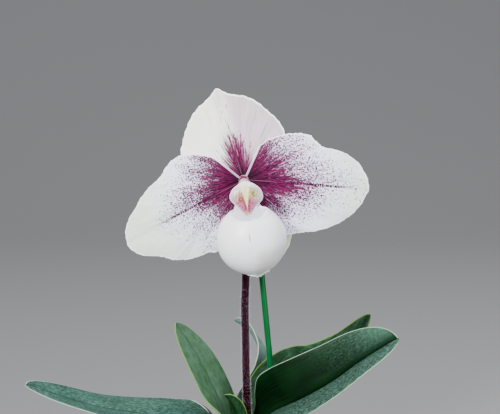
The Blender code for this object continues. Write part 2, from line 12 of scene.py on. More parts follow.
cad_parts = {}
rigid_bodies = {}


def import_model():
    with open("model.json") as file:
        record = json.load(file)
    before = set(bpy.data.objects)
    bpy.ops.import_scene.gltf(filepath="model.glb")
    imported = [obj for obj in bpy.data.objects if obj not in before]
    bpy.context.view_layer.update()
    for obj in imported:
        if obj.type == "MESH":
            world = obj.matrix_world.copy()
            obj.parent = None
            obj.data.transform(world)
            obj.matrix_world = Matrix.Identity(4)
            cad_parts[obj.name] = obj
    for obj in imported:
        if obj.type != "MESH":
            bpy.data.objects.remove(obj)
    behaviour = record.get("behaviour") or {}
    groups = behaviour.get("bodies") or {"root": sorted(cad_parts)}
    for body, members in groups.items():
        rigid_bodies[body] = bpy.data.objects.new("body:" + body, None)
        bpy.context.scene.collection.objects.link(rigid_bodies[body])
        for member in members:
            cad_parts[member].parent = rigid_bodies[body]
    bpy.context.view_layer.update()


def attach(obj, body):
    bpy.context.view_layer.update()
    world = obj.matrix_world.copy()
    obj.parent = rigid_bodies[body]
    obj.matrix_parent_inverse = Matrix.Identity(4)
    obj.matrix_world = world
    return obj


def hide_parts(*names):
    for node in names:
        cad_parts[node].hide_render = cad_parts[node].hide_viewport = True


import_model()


# Camera and studio
# The camera stands a little above the bloom and looks along the stem, as the photograph does.
# A pale sheet sweeps up behind the plant. Soft lamps stand in front of it to the left and right
# and behind it, and a narrow lamp brightens the bloom.
CAMERA_PLACE = (0.0019, -0.6326, 0.3027)
CAMERA_AIM = (0.0019, -0.0220, 0.1950)
CAMERA_LENS = 115.6
CAMERA_SENSOR = 36.0
LAMP_AIM = (0.0, -0.02, 0.16)
RIM_LAMP_AIM = (0.0, 0.0, 0.15)
BLOOM_LAMP_PLACE = (-0.46, -0.62, 0.62)
BLOOM_LAMP_AIM = (0.0, -0.02, 0.222)
SKY_COLOUR = (0.90, 0.93, 1.0, 1.0)
SKY_STRENGTH = 0.45
SHEET_COLOUR = (0.27, 0.27, 0.275, 1.0)
SHEET_HALF_WIDTH = 4.0
SHEET_FRONT = -3.0
SHEET_BEND = 0.9
SHEET_CURVE = 0.8
SHEET_TOP = 4.0


def aimed(thing, place, aim):
    """Stand a camera or a lamp at a place, turned towards another."""
    thing.location = place
    thing.rotation_euler = (Vector(aim) - Vector(place)).to_track_quat("-Z", "Y").to_euler()
    bpy.context.scene.collection.objects.link(thing)
    return thing


camera_lens = bpy.data.cameras.new("camera")
camera_lens.lens = CAMERA_LENS
camera_lens.sensor_width = CAMERA_SENSOR
camera_lens.clip_start = 0.01
camera = aimed(bpy.data.objects.new("camera", camera_lens), CAMERA_PLACE, CAMERA_AIM)
bpy.context.scene.camera = camera


def soft_lamp(name, place, aim, size, power, colour):
    """A square soft lamp."""
    lamp = bpy.data.lights.new(name, "AREA")
    lamp.size = size
    lamp.energy = power
    lamp.color = colour
    return aimed(bpy.data.objects.new(name, lamp), place, aim)


soft_lamp("key_lamp", (-0.55, -0.95, 0.95), LAMP_AIM, 0.55, 20.0, (1.0, 0.985, 0.96))
soft_lamp("fill_lamp", (0.80, -0.75, 0.45), LAMP_AIM, 0.70, 10.0, (0.93, 0.96, 1.0))
soft_lamp("rim_lamp", (0.20, 0.35, 0.95), RIM_LAMP_AIM, 0.45, 7.0, (1.0, 1.0, 1.0))
bloom_lamp = bpy.data.lights.new("bloom_lamp", "SPOT")
bloom_lamp.energy = 58.0
bloom_lamp.spot_size = math.radians(11.0)
bloom_lamp.spot_blend = 0.7
bloom_lamp.shadow_soft_size = 0.05
aimed(bpy.data.objects.new("bloom_lamp", bloom_lamp), BLOOM_LAMP_PLACE, BLOOM_LAMP_AIM)

world = bpy.data.worlds.new("studio")
world.use_nodes = True
sky = world.node_tree.nodes["Background"]
sky.inputs["Color"].default_value = SKY_COLOUR
sky.inputs["Strength"].default_value = SKY_STRENGTH
bpy.context.scene.world = world

sheet_rows = [(SHEET_FRONT, 0.0), (SHEET_BEND, 0.0)]
sheet_rows += [(SHEET_BEND + SHEET_CURVE * math.sin(a), SHEET_CURVE * (1.0 - math.cos(a)))
               for a in np.linspace(0.1, math.pi / 2, 14)]
sheet_rows += [(SHEET_BEND + SHEET_CURVE, SHEET_TOP)]
sheet_mesh = bpy.data.meshes.new("studio_sheet")
sheet_mesh.from_pydata([(x, y, z) for y, z in sheet_rows for x in (-SHEET_HALF_WIDTH, SHEET_HALF_WIDTH)], [],
                       [(2 * i, 2 * i + 1, 2 * i + 3, 2 * i + 2) for i in range(len(sheet_rows) - 1)])
sheet_mesh.shade_smooth()
sheet_paper = bpy.data.materials.new("studio_paper")
sheet_paper.use_nodes = True
paper = sheet_paper.node_tree.nodes["Principled BSDF"]
paper.inputs["Base Color"].default_value = SHEET_COLOUR
paper.inputs["Roughness"].default_value = 0.9
sheet_mesh.materials.append(sheet_paper)
studio_sheet = bpy.data.objects.new("studio_sheet", sheet_mesh)
bpy.context.scene.collection.objects.link(studio_sheet)


# Pot
# A round nursery pot of thin black plastic with a stepped rim and four drains in its floor.
# It is moulded in one piece, so its skin is even, with a faint satin grain and some dust.
POT_HEIGHT = 0.078
POT_FOOT_RADIUS = 0.0330
POT_TOP_RADIUS = 0.0425
POT_WALL = 0.0018
POT_FLOOR = 0.0025
RIM_HEIGHT = 0.010
RIM_STEP = 0.0022
DRAIN_RADIUS = 0.0035
DRAIN_RING = 0.019
DRAIN_COUNT = 4
DRAIN_CUT = 0.005
DRAIN_BELOW = 0.001
SEAT = 0.0003
MERGE_DISTANCE = 1e-7
CREASE_ANGLE = 40.0


class Wire:
    """One value on its way through a finish. Sums written on it become Math nodes."""

    def __init__(self, finish, socket):
        self.finish = finish
        self.socket = socket

    def math(self, operation, *others):
        return self.finish.node("ShaderNodeMath", {"operation": operation}, dict(enumerate((self,) + others)))

    def __add__(self, other):
        return self.math("ADD", other)

    def __radd__(self, other):
        return self.math("ADD", other)

    def __sub__(self, other):
        return self.math("SUBTRACT", other)

    def __rsub__(self, other):
        return self.finish.node("ShaderNodeMath", {"operation": "SUBTRACT"}, {0: other, 1: self})

    def __mul__(self, other):
        return self.math("MULTIPLY", other)

    def __rmul__(self, other):
        return self.math("MULTIPLY", other)

    def __truediv__(self, other):
        return self.math("DIVIDE", other)

    def __pow__(self, other):
        return self.math("POWER", other)

    def __abs__(self):
        return self.math("ABSOLUTE")

    def ramp(self, start, end):
        """0 at start, 1 at end, smooth between. start may be the larger."""
        return self.finish.node("ShaderNodeMapRange", {"interpolation_type": "SMOOTHSTEP"},
                                {"Value": self, "From Min": start, "From Max": end})


class Finish:
    """A piece's finish: a Principled shader and what feeds it."""

    def __init__(self, name, roughness=0.5, **steady):
        self.material = bpy.data.materials.new(name)
        self.material.use_nodes = True
        self.tree = self.material.node_tree
        self.shader = self.tree.nodes["Principled BSDF"]
        self.tone = (0.0, 0.0, 0.0)
        self.shader.inputs["Roughness"].default_value = roughness
        for socket, value in steady.items():
            self.shader.inputs[socket.replace("_", " ")].default_value = value

    def feed(self, socket, value):
        """Link a wire to a socket, or set the socket to a plain value or colour."""
        if isinstance(value, Wire):
            self.tree.links.new(value.socket, socket)
        elif isinstance(value, tuple) and len(value) == 3 and socket.type == "RGBA":
            socket.default_value = value + (1.0,)
        else:
            socket.default_value = value

    def node(self, kind, settings, values, output=0):
        """Add a node, with its settings first and then what its sockets hold or are fed."""
        made = self.tree.nodes.new(kind)
        for key, value in settings.items():
            setattr(made, key, value)
        for key, value in values.items():
            self.feed(made.inputs[key], value)
        return Wire(self, made.outputs[output])

    def place(self):
        """Where a point of the skin lies in the piece's own space."""
        return self.node("ShaderNodeTexCoord", {}, {}, 3)

    def part(self, vector, axis):
        """One of a vector's three numbers."""
        return self.node("ShaderNodeSeparateXYZ", {}, {0: vector}, axis)

    def read(self, name):
        """A value that the mesh holds at each of its points."""
        return self.node("ShaderNodeAttribute", {"attribute_name": name}, {}, 2)

    def vector(self, x, y, z=0.0):
        return self.node("ShaderNodeCombineXYZ", {}, {0: x, 1: y, 2: z})

    def noise(self, vector, scale, detail=2.0, roughness=0.5):
        return self.node("ShaderNodeTexNoise", {}, {"Vector": vector, "Scale": scale, "Detail": detail,
                                                    "Roughness": roughness})

    def drawn_out(self, vector, upright, scale, detail, roughness=0.5):
        """A noise that is drawn out upwards into streaks."""
        sideways, across, climb = [self.part(vector, axis) for axis in range(3)]
        return self.noise(self.vector(sideways, across, climb * upright), scale, detail, roughness)

    def cells(self, vector, scale, output=0, feature="F1"):
        """Distance to the nearest of many scattered seeds, or with output 1 that seed's own colour."""
        return self.node("ShaderNodeTexVoronoi", {"feature": feature}, {"Vector": vector, "Scale": scale},
                         output)

    def blend(self, share, first, second):
        """The second colour over the first by a share."""
        return self.node("ShaderNodeMix", {"data_type": "RGBA"}, {0: share, 6: first, 7: second}, 2)

    def over(self, share, colour):
        """Paint a colour over the tone as it is so far, by a share."""
        self.tone = self.blend(share, self.tone, colour)

    def paint(self, colour, roughness=None):
        """Give the skin its colour, and a roughness where that changes over it."""
        self.feed(self.shader.inputs["Base Color"], colour)
        if roughness is not None:
            self.feed(self.shader.inputs["Roughness"], roughness)

    def relief(self, height, depth):
        """Raise the skin by up to a depth in metres where the height is 1."""
        bumped = self.node("ShaderNodeBump", {}, {"Height": height, "Distance": depth, "Strength": 1.0})
        self.feed(self.shader.inputs["Normal"], bumped)


def shade(red, green, blue):
    """A colour from its screen values, 0 to 255."""
    values = [c / 255.0 for c in (red, green, blue)]
    return tuple(c / 12.92 if c <= 0.04045 else ((c + 0.055) / 1.055) ** 2.4 for c in values)


def piece(name, vertices, faces, finish, nodes, slot, crease=CREASE_ANGLE, marks=None):
    """Make one finished piece from a closed mesh, and say which plain solids it stands for."""
    mesh = bpy.data.meshes.new(name)
    mesh.from_pydata([tuple(v) for v in vertices], [], faces)
    for mark, values in (marks or {}).items():
        attribute = mesh.attributes.new(mark, "FLOAT", "POINT")
        attribute.data.foreach_set("value", np.asarray(values, np.float32).ravel())
    work = bmesh.new()
    work.from_mesh(mesh)
    bmesh.ops.remove_doubles(work, verts=work.verts, dist=MERGE_DISTANCE)
    bmesh.ops.recalc_face_normals(work, faces=work.faces)
    work.to_mesh(mesh)
    work.free()
    mesh.shade_smooth()
    mesh.set_sharp_from_angle(angle=math.radians(crease))
    mesh.materials.append(finish.material)
    made = bpy.data.objects.new(name, mesh)
    bpy.context.scene.collection.objects.link(made)
    if nodes:
        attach(made, "root")
        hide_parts(*nodes)
    return made


def pole_to_pole(rings, sides):
    """Faces of a shell of rings of points between a first and a last single point."""
    last = rings * sides + 1
    faces = []
    for j in range(sides):
        nxt = (j + 1) % sides
        faces.append((0, 1 + j, 1 + nxt))
        for ring in range(rings - 1):
            a, b = 1 + ring * sides, 1 + (ring + 1) * sides
            faces.append((a + j, b + j, b + nxt, a + nxt))
        faces.append((last, last - sides + nxt, last - sides + j))
    return faces


def turned(profile, segments, place=(0.0, 0.0, 0.0), waver=None):
    """Turn a profile of (radius, height) that starts and ends on the axis."""
    vertices = [(place[0], place[1], place[2] + profile[0][1])]
    for radius, height in profile[1:-1]:
        for k in range(segments):
            angle = math.tau * k / segments
            reach = radius * (waver(angle, height) if waver else 1.0)
            vertices.append((place[0] + reach * math.cos(angle), place[1] + reach * math.sin(angle),
                             place[2] + height))
    vertices.append((place[0], place[1], place[2] + profile[-1][1]))
    return vertices, pole_to_pole(len(profile) - 2, segments)


def pot_inner_radius(height):
    """Inside radius of the pot's wall at a height."""
    slope = (POT_TOP_RADIUS - POT_FOOT_RADIUS) / (POT_HEIGHT - RIM_HEIGHT)
    return POT_FOOT_RADIUS + slope * height - POT_WALL


plastic = Finish("pot_plastic_skin", Specular_IOR_Level=0.45)
grain = plastic.noise(plastic.place(), 900.0, 3.0)
dust = plastic.noise(plastic.place(), 60.0, 4.0, 0.65).ramp(0.52, 0.78)
plastic.paint(plastic.blend(dust * 0.14, shade(34, 35, 36), shade(92, 88, 80)),
              0.38 + 0.18 * grain + 0.12 * dust)
plastic.relief(grain, 0.00004)
shoulder = POT_HEIGHT - RIM_HEIGHT
lip = POT_TOP_RADIUS + RIM_STEP
inside = pot_inner_radius(POT_HEIGHT)
pot_profile = [
    (0.0, 0.0), (POT_FOOT_RADIUS - 0.0012, 0.0), (POT_FOOT_RADIUS - 0.0003, 0.0003),
    (POT_FOOT_RADIUS + 0.0001, 0.0012), (POT_TOP_RADIUS - 0.0002, shoulder - 0.0012),
    (POT_TOP_RADIUS, shoulder - 0.0002), (POT_TOP_RADIUS + 0.0004, shoulder),
    (lip - 0.0005, shoulder + 0.0004), (lip, shoulder + 0.0012),
    (lip + 0.0005, POT_HEIGHT - 0.0014), (lip + 0.0004, POT_HEIGHT - 0.0004), (lip - 0.0003, POT_HEIGHT),
    (inside + 0.0008, POT_HEIGHT), (inside + 0.0001, POT_HEIGHT - 0.0006),
    (inside - 0.0002, POT_HEIGHT - 0.0016), (pot_inner_radius(POT_HEIGHT - 0.008), POT_HEIGHT - 0.008),
    (pot_inner_radius(POT_FLOOR), POT_FLOOR), (0.0, POT_FLOOR),
]
pot = piece("pot", *turned(pot_profile, 144), plastic, ["pot"], "pot_plastic")
hole = [(0.0, 0.0), (DRAIN_RADIUS, 0.0), (DRAIN_RADIUS, DRAIN_CUT), (0.0, DRAIN_CUT)]
drains = []
for k in range(DRAIN_COUNT):
    angle = math.tau * (k + 0.5) / DRAIN_COUNT
    place = (DRAIN_RING * math.cos(angle), DRAIN_RING * math.sin(angle), -DRAIN_BELOW)
    drains.append(piece("drain", *turned(hole, 32, place), plastic, None, None))


def cut_with(target, tools):
    """Cut a piece with a group of plain solids, which are then removed."""
    group = bpy.data.collections.new("tools")
    for tool in tools:
        bpy.context.scene.collection.objects.unlink(tool)
        group.objects.link(tool)
    bpy.context.scene.collection.children.link(group)
    cut = target.modifiers.new("Cut", "BOOLEAN")
    cut.operation = "DIFFERENCE"
    cut.solver = "EXACT"
    cut.operand_type = "COLLECTION"
    cut.collection = group
    result = bpy.data.meshes.new_from_object(target.evaluated_get(bpy.context.evaluated_depsgraph_get()))
    target.modifiers.remove(cut)
    target.data = result
    for tool in list(group.objects):
        bpy.data.objects.remove(tool)
    bpy.data.collections.remove(group)
    result.set_sharp_from_angle(angle=math.radians(CREASE_ANGLE))


cut_with(pot, drains)


# Growing medium
# Chips of fir bark fill the pot: reddish-brown, layered and broken, with pale breaks.
# Large chips lie on top as they were tipped in, and finer ones fill the gaps between them.
MEDIUM_TOP = 0.068
MEDIUM_DOME = 0.0015
CHIP_COUNT = 46
CHIP_LENGTH = 0.0125
CHIP_WIDTH = 0.0080
CHIP_HEIGHT = 0.0075
CHIP_SPREAD = 0.0335
CHIP_INNER = 0.0100
CHIP_ROUGH = 0.0007
CHIP_SIZES = (0.75, 1.2)
CHIP_LEAN = 0.35
CHIP_TIP = 0.3
CHIP_TAPER = (0.72, 1.0)
CHIP_FLATNESS = (0.8, 1.0)
CHIP_LIFT = (0.0003, 0.0022)
CHIP_TURN = 0.7
CHIP_SEED = 7
CHIP_SEED_STEP = 3.7
COARSE_BREAKS = 420.0
FINE_BREAKS = 1300.0
CHIP_CUTS = 7
GOLDEN_ANGLE = math.radians(137.5)
PLUG_EDGE_DROP = 0.0015
PLUG_DROP = 0.0012
PLUG_RINGS = 12
CRUMB_ROUGH = 0.0004
CRUMB_CUTS = 3
CRUMB_INNER = 0.0075
CRUMB_OUTER = 0.0372
CRUMB_LEVEL = MEDIUM_TOP + 0.0006

bark = Finish("bark_skin", 0.88)
spot = bark.place()
layers = bark.noise(bark.vector(bark.part(spot, 0) * 0.5, bark.part(spot, 1) * 0.5, bark.part(spot, 2) * 2.2),
                    900.0, 4.0, 0.6)
patches = bark.noise(spot, 110.0, 3.0, 0.6)
bark.tone = bark.blend(patches.ramp(0.34, 0.66), shade(58, 34, 22), shade(128, 78, 48))
bark.over(layers.ramp(0.50, 0.72) * 0.6, shade(168, 118, 78))
bark.over(layers.ramp(0.46, 0.28) * 0.7, shade(36, 22, 16))
bark.paint(bark.tone, 0.80 + 0.15 * layers)
bark.relief(layers, 0.0005)


def bark_chip(draw, place, yaw):
    """Corners of one rough, tilted piece of bark."""
    sizes = [s * draw.uniform(*CHIP_SIZES) / 2 for s in (CHIP_LENGTH, CHIP_WIDTH, CHIP_HEIGHT)]
    lean = draw.uniform(-CHIP_LEAN, CHIP_LEAN)
    tip = draw.uniform(-CHIP_TIP, CHIP_TIP)
    corners = []
    for z in (-1, 1):
        for x, y in ((-1, -1), (1, -1), (1, 1), (-1, 1)):
            shrink = draw.uniform(*CHIP_TAPER)
            px = x * sizes[0] * shrink
            py = y * sizes[1] * shrink
            pz = z * sizes[2] * draw.uniform(*CHIP_FLATNESS) + lean * px + tip * py
            corners.append(Vector((place[0] + px * math.cos(yaw) - py * math.sin(yaw),
                                   place[1] + px * math.sin(yaw) + py * math.cos(yaw), place[2] + pz)))
    return corners


def broken_chip(corners, rough, seed, cuts):
    """Split a chip's faces finely and break up its edges, never past the plain chip's corners."""
    middle = sum(corners, Vector()) / 8
    quads = [(0, 3, 2, 1), (4, 5, 6, 7), (0, 1, 5, 4), (1, 2, 6, 5), (2, 3, 7, 6), (3, 0, 4, 7)]
    vertices, faces = [], []
    for a, b, c, d in quads:
        start = len(vertices)
        for i in range(cuts + 1):
            for j in range(cuts + 1):
                s, t = i / cuts, j / cuts
                flat = ((corners[a] * (1 - s) + corners[b] * s) * (1 - t)
                        + (corners[d] * (1 - s) + corners[c] * s) * t)
                near_edge = max(abs(2 * s - 1), abs(2 * t - 1)) ** 6
                shift = noise.noise(flat * COARSE_BREAKS + Vector((seed, 0, 0))) * 0.6
                shift += noise.noise(flat * FINE_BREAKS + Vector((0, seed, 0))) * 0.4
                inward = rough * (0.45 + 0.55 * shift + 0.35 * near_edge)
                vertices.append(flat + (middle - flat).normalized() * inward)
        for i in range(cuts):
            for j in range(cuts):
                k = start + i * (cuts + 1) + j
                faces.append((k, k + cuts + 1, k + cuts + 2, k + 1))
    return vertices, faces


def join_to(shape, more):
    """Add a second closed shell to a shape. Each is a pair of corners and faces."""
    start = len(shape[0])
    shape[0].extend(more[0])
    shape[1].extend(tuple(start + corner for corner in face) for face in more[1])


floor = POT_FLOOR + SEAT
plug_radius = pot_inner_radius(MEDIUM_TOP) - SEAT
plug_profile = [(0.0, floor), (pot_inner_radius(floor) - SEAT, floor),
                (plug_radius, MEDIUM_TOP - PLUG_EDGE_DROP)]
for k in range(1, PLUG_RINGS + 1):
    share = k / PLUG_RINGS
    plug_profile.append((plug_radius * (1 - share), MEDIUM_TOP + share * MEDIUM_DOME - PLUG_DROP))
chips = turned(plug_profile, 96)
draw = random.Random(CHIP_SEED)
for k in range(CHIP_COUNT):
    share = (k + 0.5) / CHIP_COUNT
    reach = CHIP_INNER + (CHIP_SPREAD - CHIP_INNER) * math.sqrt(share)
    angle = k * GOLDEN_ANGLE
    height = MEDIUM_TOP + draw.uniform(*CHIP_LIFT)
    place = (reach * math.cos(angle), reach * math.sin(angle), height)
    corners = bark_chip(draw, place, angle + math.pi / 2 + draw.uniform(-CHIP_TURN, CHIP_TURN))
    join_to(chips, broken_chip(corners, CHIP_ROUGH, k * CHIP_SEED_STEP, CHIP_CUTS))
medium = piece("growing_medium", *chips, bark, ["growing_medium"], "bark", crease=30.0)


def scatter_tree(name, sizes, seed):
    """A tree that strews copies of one small mesh over a surface, each leaning, turned and sized at random.

    Each kind of draw reads its random numbers from a place of its own, far from the others.
    """
    places = {"lean_across": 1000, "lean_along": 2000, "turn": 3000, "size": 4000}
    tree = bpy.data.node_groups.new(name, "GeometryNodeTree")
    face = tree.interface
    face.new_socket("Geometry", in_out="INPUT", socket_type="NodeSocketGeometry")
    face.new_socket("Copy", in_out="INPUT", socket_type="NodeSocketObject")
    face.new_socket("Finish", in_out="INPUT", socket_type="NodeSocketMaterial")
    for size in ("Density", "Smallest", "Largest", "Turn", "Lean"):
        face.new_socket(size, in_out="INPUT", socket_type="NodeSocketFloat").default_value = sizes[size]
    face.new_socket("Seed", in_out="INPUT", socket_type="NodeSocketInt").default_value = seed
    face.new_socket("Geometry", in_out="OUTPUT", socket_type="NodeSocketGeometry")
    given = tree.nodes.new("NodeGroupInput")
    result = tree.nodes.new("NodeGroupOutput")

    def node(kind, links, **settings):
        made = tree.nodes.new(kind)
        for key, value in settings.items():
            setattr(made, key, value)
        for socket, source in links.items():
            tree.links.new(source, made.inputs[socket])
        return made

    def drawn(kind, low, high):
        made = node("FunctionNodeRandomValue", {"Seed": given.outputs["Seed"]}, data_type="FLOAT")
        number = tree.nodes.new("GeometryNodeInputIndex")
        shifted = node("ShaderNodeMath", {0: number.outputs[0]}, operation="ADD")
        shifted.inputs[1].default_value = float(places[kind])
        tree.links.new(shifted.outputs[0], made.inputs["ID"])
        floats = [s for s in made.inputs if s.type == "VALUE"]
        for socket, value in zip(floats, (low, high)):
            if isinstance(value, bpy.types.NodeSocket):
                tree.links.new(value, socket)
            else:
                socket.default_value = value
        return [s for s in made.outputs if s.type == "VALUE"][0]

    points = node("GeometryNodeDistributePointsOnFaces",
                  {"Mesh": given.outputs["Geometry"], "Density": given.outputs["Density"],
                   "Seed": given.outputs["Seed"]})
    copied = node("GeometryNodeObjectInfo", {"Object": given.outputs["Copy"]})
    minus = node("ShaderNodeMath", {0: given.outputs["Lean"]}, operation="MULTIPLY")
    minus.inputs[1].default_value = -1.0
    leaned = node("ShaderNodeCombineXYZ",
                  {0: drawn("lean_across", minus.outputs[0], given.outputs["Lean"]),
                   1: drawn("lean_along", minus.outputs[0], given.outputs["Lean"]),
                   2: drawn("turn", 0.0, given.outputs["Turn"])})
    lean = node("FunctionNodeEulerToRotation", {0: leaned.outputs[0]})
    stance = node("FunctionNodeRotateRotation", {0: points.outputs["Rotation"], 1: lean.outputs[0]},
                  rotation_space="LOCAL")
    copies = node("GeometryNodeInstanceOnPoints",
                  {"Points": points.outputs["Points"], "Instance": copied.outputs["Geometry"],
                   "Rotation": stance.outputs[0],
                   "Scale": drawn("size", given.outputs["Smallest"], given.outputs["Largest"])})
    real = node("GeometryNodeRealizeInstances", {0: copies.outputs[0]})
    painted = node("GeometryNodeSetMaterial",
                   {"Geometry": real.outputs[0], "Material": given.outputs["Finish"]})
    tree.links.new(painted.outputs[0], result.inputs[0])
    return tree


def strewn(name, base, copy, finish, slot, seed, **sizes):
    """Strew copies of a small mesh over a base and keep the result as a plain piece."""
    tree = scatter_tree(name, sizes, seed)
    ground = bpy.data.objects.new(name, base)
    bpy.context.scene.collection.objects.link(ground)
    modifier = ground.modifiers.new("Strewn", "NODES")
    modifier.node_group = tree
    given = {item.name: item.identifier for item in tree.interface.items_tree if item.in_out == "INPUT"}
    modifier[given["Copy"]] = copy
    modifier[given["Finish"]] = finish.material
    modifier[given["Seed"]] = seed
    for size, value in sizes.items():
        modifier[given[size]] = value
    result = bpy.data.meshes.new_from_object(ground.evaluated_get(bpy.context.evaluated_depsgraph_get()))
    ground.modifiers.remove(modifier)
    ground.data = result
    if not result.materials:
        result.materials.append(finish.material)
    bpy.data.objects.remove(copy)
    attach(ground, "root")
    return ground


def ring_sheet(name, inner, outer, height, segments=48):
    """A flat ring to strew things over."""
    mesh = bpy.data.meshes.new(name)
    vertices = [(r * math.cos(math.tau * k / segments), r * math.sin(math.tau * k / segments), height)
                for r in (inner, outer) for k in range(segments)]
    faces = [(k, segments + k, segments + (k + 1) % segments, (k + 1) % segments) for k in range(segments)]
    mesh.from_pydata(vertices, [], faces)
    return mesh


small_corners = [Vector(c) for c in ((-0.0028, -0.0016, -0.0009), (0.0024, -0.0018, -0.0011),
                                     (0.0028, 0.0015, -0.0009), (-0.0023, 0.0018, -0.0010),
                                     (-0.0025, -0.0014, 0.0011), (0.0027, -0.0015, 0.0009),
                                     (0.0024, 0.0017, 0.0011), (-0.0028, 0.0014, 0.0010))]
bark_crumb = piece("bark_crumb", *broken_chip(small_corners, CRUMB_ROUGH, 5.0, CRUMB_CUTS), bark, None, None,
                   crease=30.0)
crumb_ground = ring_sheet("bark_crumbs", CRUMB_INNER, CRUMB_OUTER, CRUMB_LEVEL)
bark_crumbs = strewn("bark_crumbs", crumb_ground, bark_crumb, bark, "bark", 11,
                     Density=110000.0, Smallest=0.35, Largest=0.95, Turn=math.tau, Lean=0.5)


# Crown
# The short green stem that carries the leaves, on the brown root stock that stands in the bark.
# It is fibrous and a little uneven, and thick roots arch from its foot down into the chips.
CROWN_RADIUS = 0.0050
CROWN_TOP = 0.098
ROOT_RADIUS = 0.0062
ROOT_FOOT = 0.040
ROOT_TOP = 0.0775
SURFACE_ROOTS = 6
SURFACE_ROOT_REACH = 0.0135
SURFACE_ROOT_RADII = [0.0011, 0.0012, 0.0011, 0.0009]

crown_skin = Finish("crown_skin", 0.68)
spot = crown_skin.place()
climb = crown_skin.part(spot, 2)
fibres = crown_skin.drawn_out(spot, 0.12, 1500.0, 3.0, 0.6)
crown_skin.tone = crown_skin.blend(fibres, shade(110, 78, 44), shade(158, 124, 78))
crown_skin.over(climb.ramp(0.0780, 0.0830), shade(120, 142, 66))
crown_skin.paint(crown_skin.tone)
crown_skin.relief(fibres, 0.0003)


def through(knots, values, at):
    """Read, at one place, the smooth curve that passes through the values at the knots."""
    knots = np.asarray(knots, float)
    values = np.asarray(values, float)
    slopes = np.gradient(values, knots, axis=0)
    i = int(np.clip(np.searchsorted(knots, at, side="right") - 1, 0, len(knots) - 2))
    step = knots[i + 1] - knots[i]
    t = (at - knots[i]) / step
    start = (1 + 2 * t) * (1 - t) ** 2 * values[i] + t * (1 - t) ** 2 * step * slopes[i]
    end = t * t * (3 - 2 * t) * values[i + 1] - t * t * (1 - t) * step * slopes[i + 1]
    return start + end


def chord_knots(points):
    """Distances along a run of points, from 0 at the first to 1 at the last."""
    steps = np.linalg.norm(np.diff(np.asarray(points, float), axis=0), axis=1)
    return (np.concatenate(([0.0], np.cumsum(steps))) / steps.sum()).tolist()


def end_to_end(rings, sides):
    """Faces of a rod of rings of points, with a flat face at either end."""
    faces = [tuple(range(sides)), tuple(range((rings - 1) * sides, rings * sides))]
    for k in range(rings - 1):
        for j in range(sides):
            a, b = k * sides + j, k * sides + (j + 1) % sides
            faces.append((a, b, b + sides, a + sides))
    return faces


def stem(points, radii, rings, sides, ribs=0, rib=0.0):
    """Sweep a round or ribbed section along a smooth curve."""
    knots = chord_knots(points)
    stops = [k / (rings - 1) for k in range(rings)]
    places = [Vector(through(knots, points, s)) for s in stops]
    widths = [float(through(knots, radii, s)) for s in stops]
    side = Vector((1.0, 0.0, 0.0))
    vertices = []
    for k in range(rings):
        along = (places[min(k + 1, rings - 1)] - places[max(k - 1, 0)]).normalized()
        side = (side - side.dot(along) * along).normalized()
        other = along.cross(side)
        for j in range(sides):
            angle = math.tau * j / sides
            reach = widths[k] * (1.0 + rib * math.cos(angle * ribs))
            vertices.append(places[k] + reach * (math.cos(angle) * side + math.sin(angle) * other))
    return vertices, end_to_end(rings, sides)


crown_profile = [(0.0, ROOT_FOOT), (ROOT_RADIUS * 0.7, ROOT_FOOT), (ROOT_RADIUS, ROOT_FOOT + 0.006),
                 (ROOT_RADIUS, ROOT_TOP - 0.006), (ROOT_RADIUS * 1.03, ROOT_TOP - 0.0035),
                 (ROOT_RADIUS * 0.97, ROOT_TOP - 0.0015), (ROOT_RADIUS, ROOT_TOP - 0.0005),
                 (ROOT_RADIUS * 0.86, ROOT_TOP + 0.0004), (CROWN_RADIUS, ROOT_TOP + 0.0012),
                 (CROWN_RADIUS, CROWN_TOP - 0.004), (CROWN_RADIUS * 0.94, CROWN_TOP - 0.0012),
                 (CROWN_RADIUS * 0.72, CROWN_TOP), (0.0, CROWN_TOP)]


def uneven(angle, height):
    """How the crown swells and narrows round its girth and up its height."""
    return 1.0 + 0.02 * math.sin(5 * angle + 400 * height)


crown_shape = turned(crown_profile, 48, waver=uneven)
for k in range(SURFACE_ROOTS):
    angle = math.tau * k / SURFACE_ROOTS + 0.5
    far = SURFACE_ROOT_REACH + 0.0018 * (k % 3)
    root_points = [(reach * math.cos(angle), reach * math.sin(angle), height) for reach, height in
                   ((0.0052, 0.0752), (0.0088, 0.0750), (far - 0.0015, 0.0722), (far, 0.0665))]
    join_to(crown_shape, stem(root_points, SURFACE_ROOT_RADII, 14, 10))
crown = piece("crown", *crown_shape, crown_skin, ["crown"], "crown_tissue")


# Stake
# A thin round support stick of smooth green plastic, pushed into the bark beside the plant.
# It slants up to just beside the stem under the bloom and shines along its length.
STAKE_RADIUS = 0.0012
STAKE_FOOT = Vector((0.0190, 0.0030, 0.034))
STAKE_TOP = Vector((0.0050, 0.0034, 0.180))
STAKE_SIDES = 32
STAKE_ENDS = [(0.0, 0.6), (0.00025, 0.87), (0.0008, 1.0)]

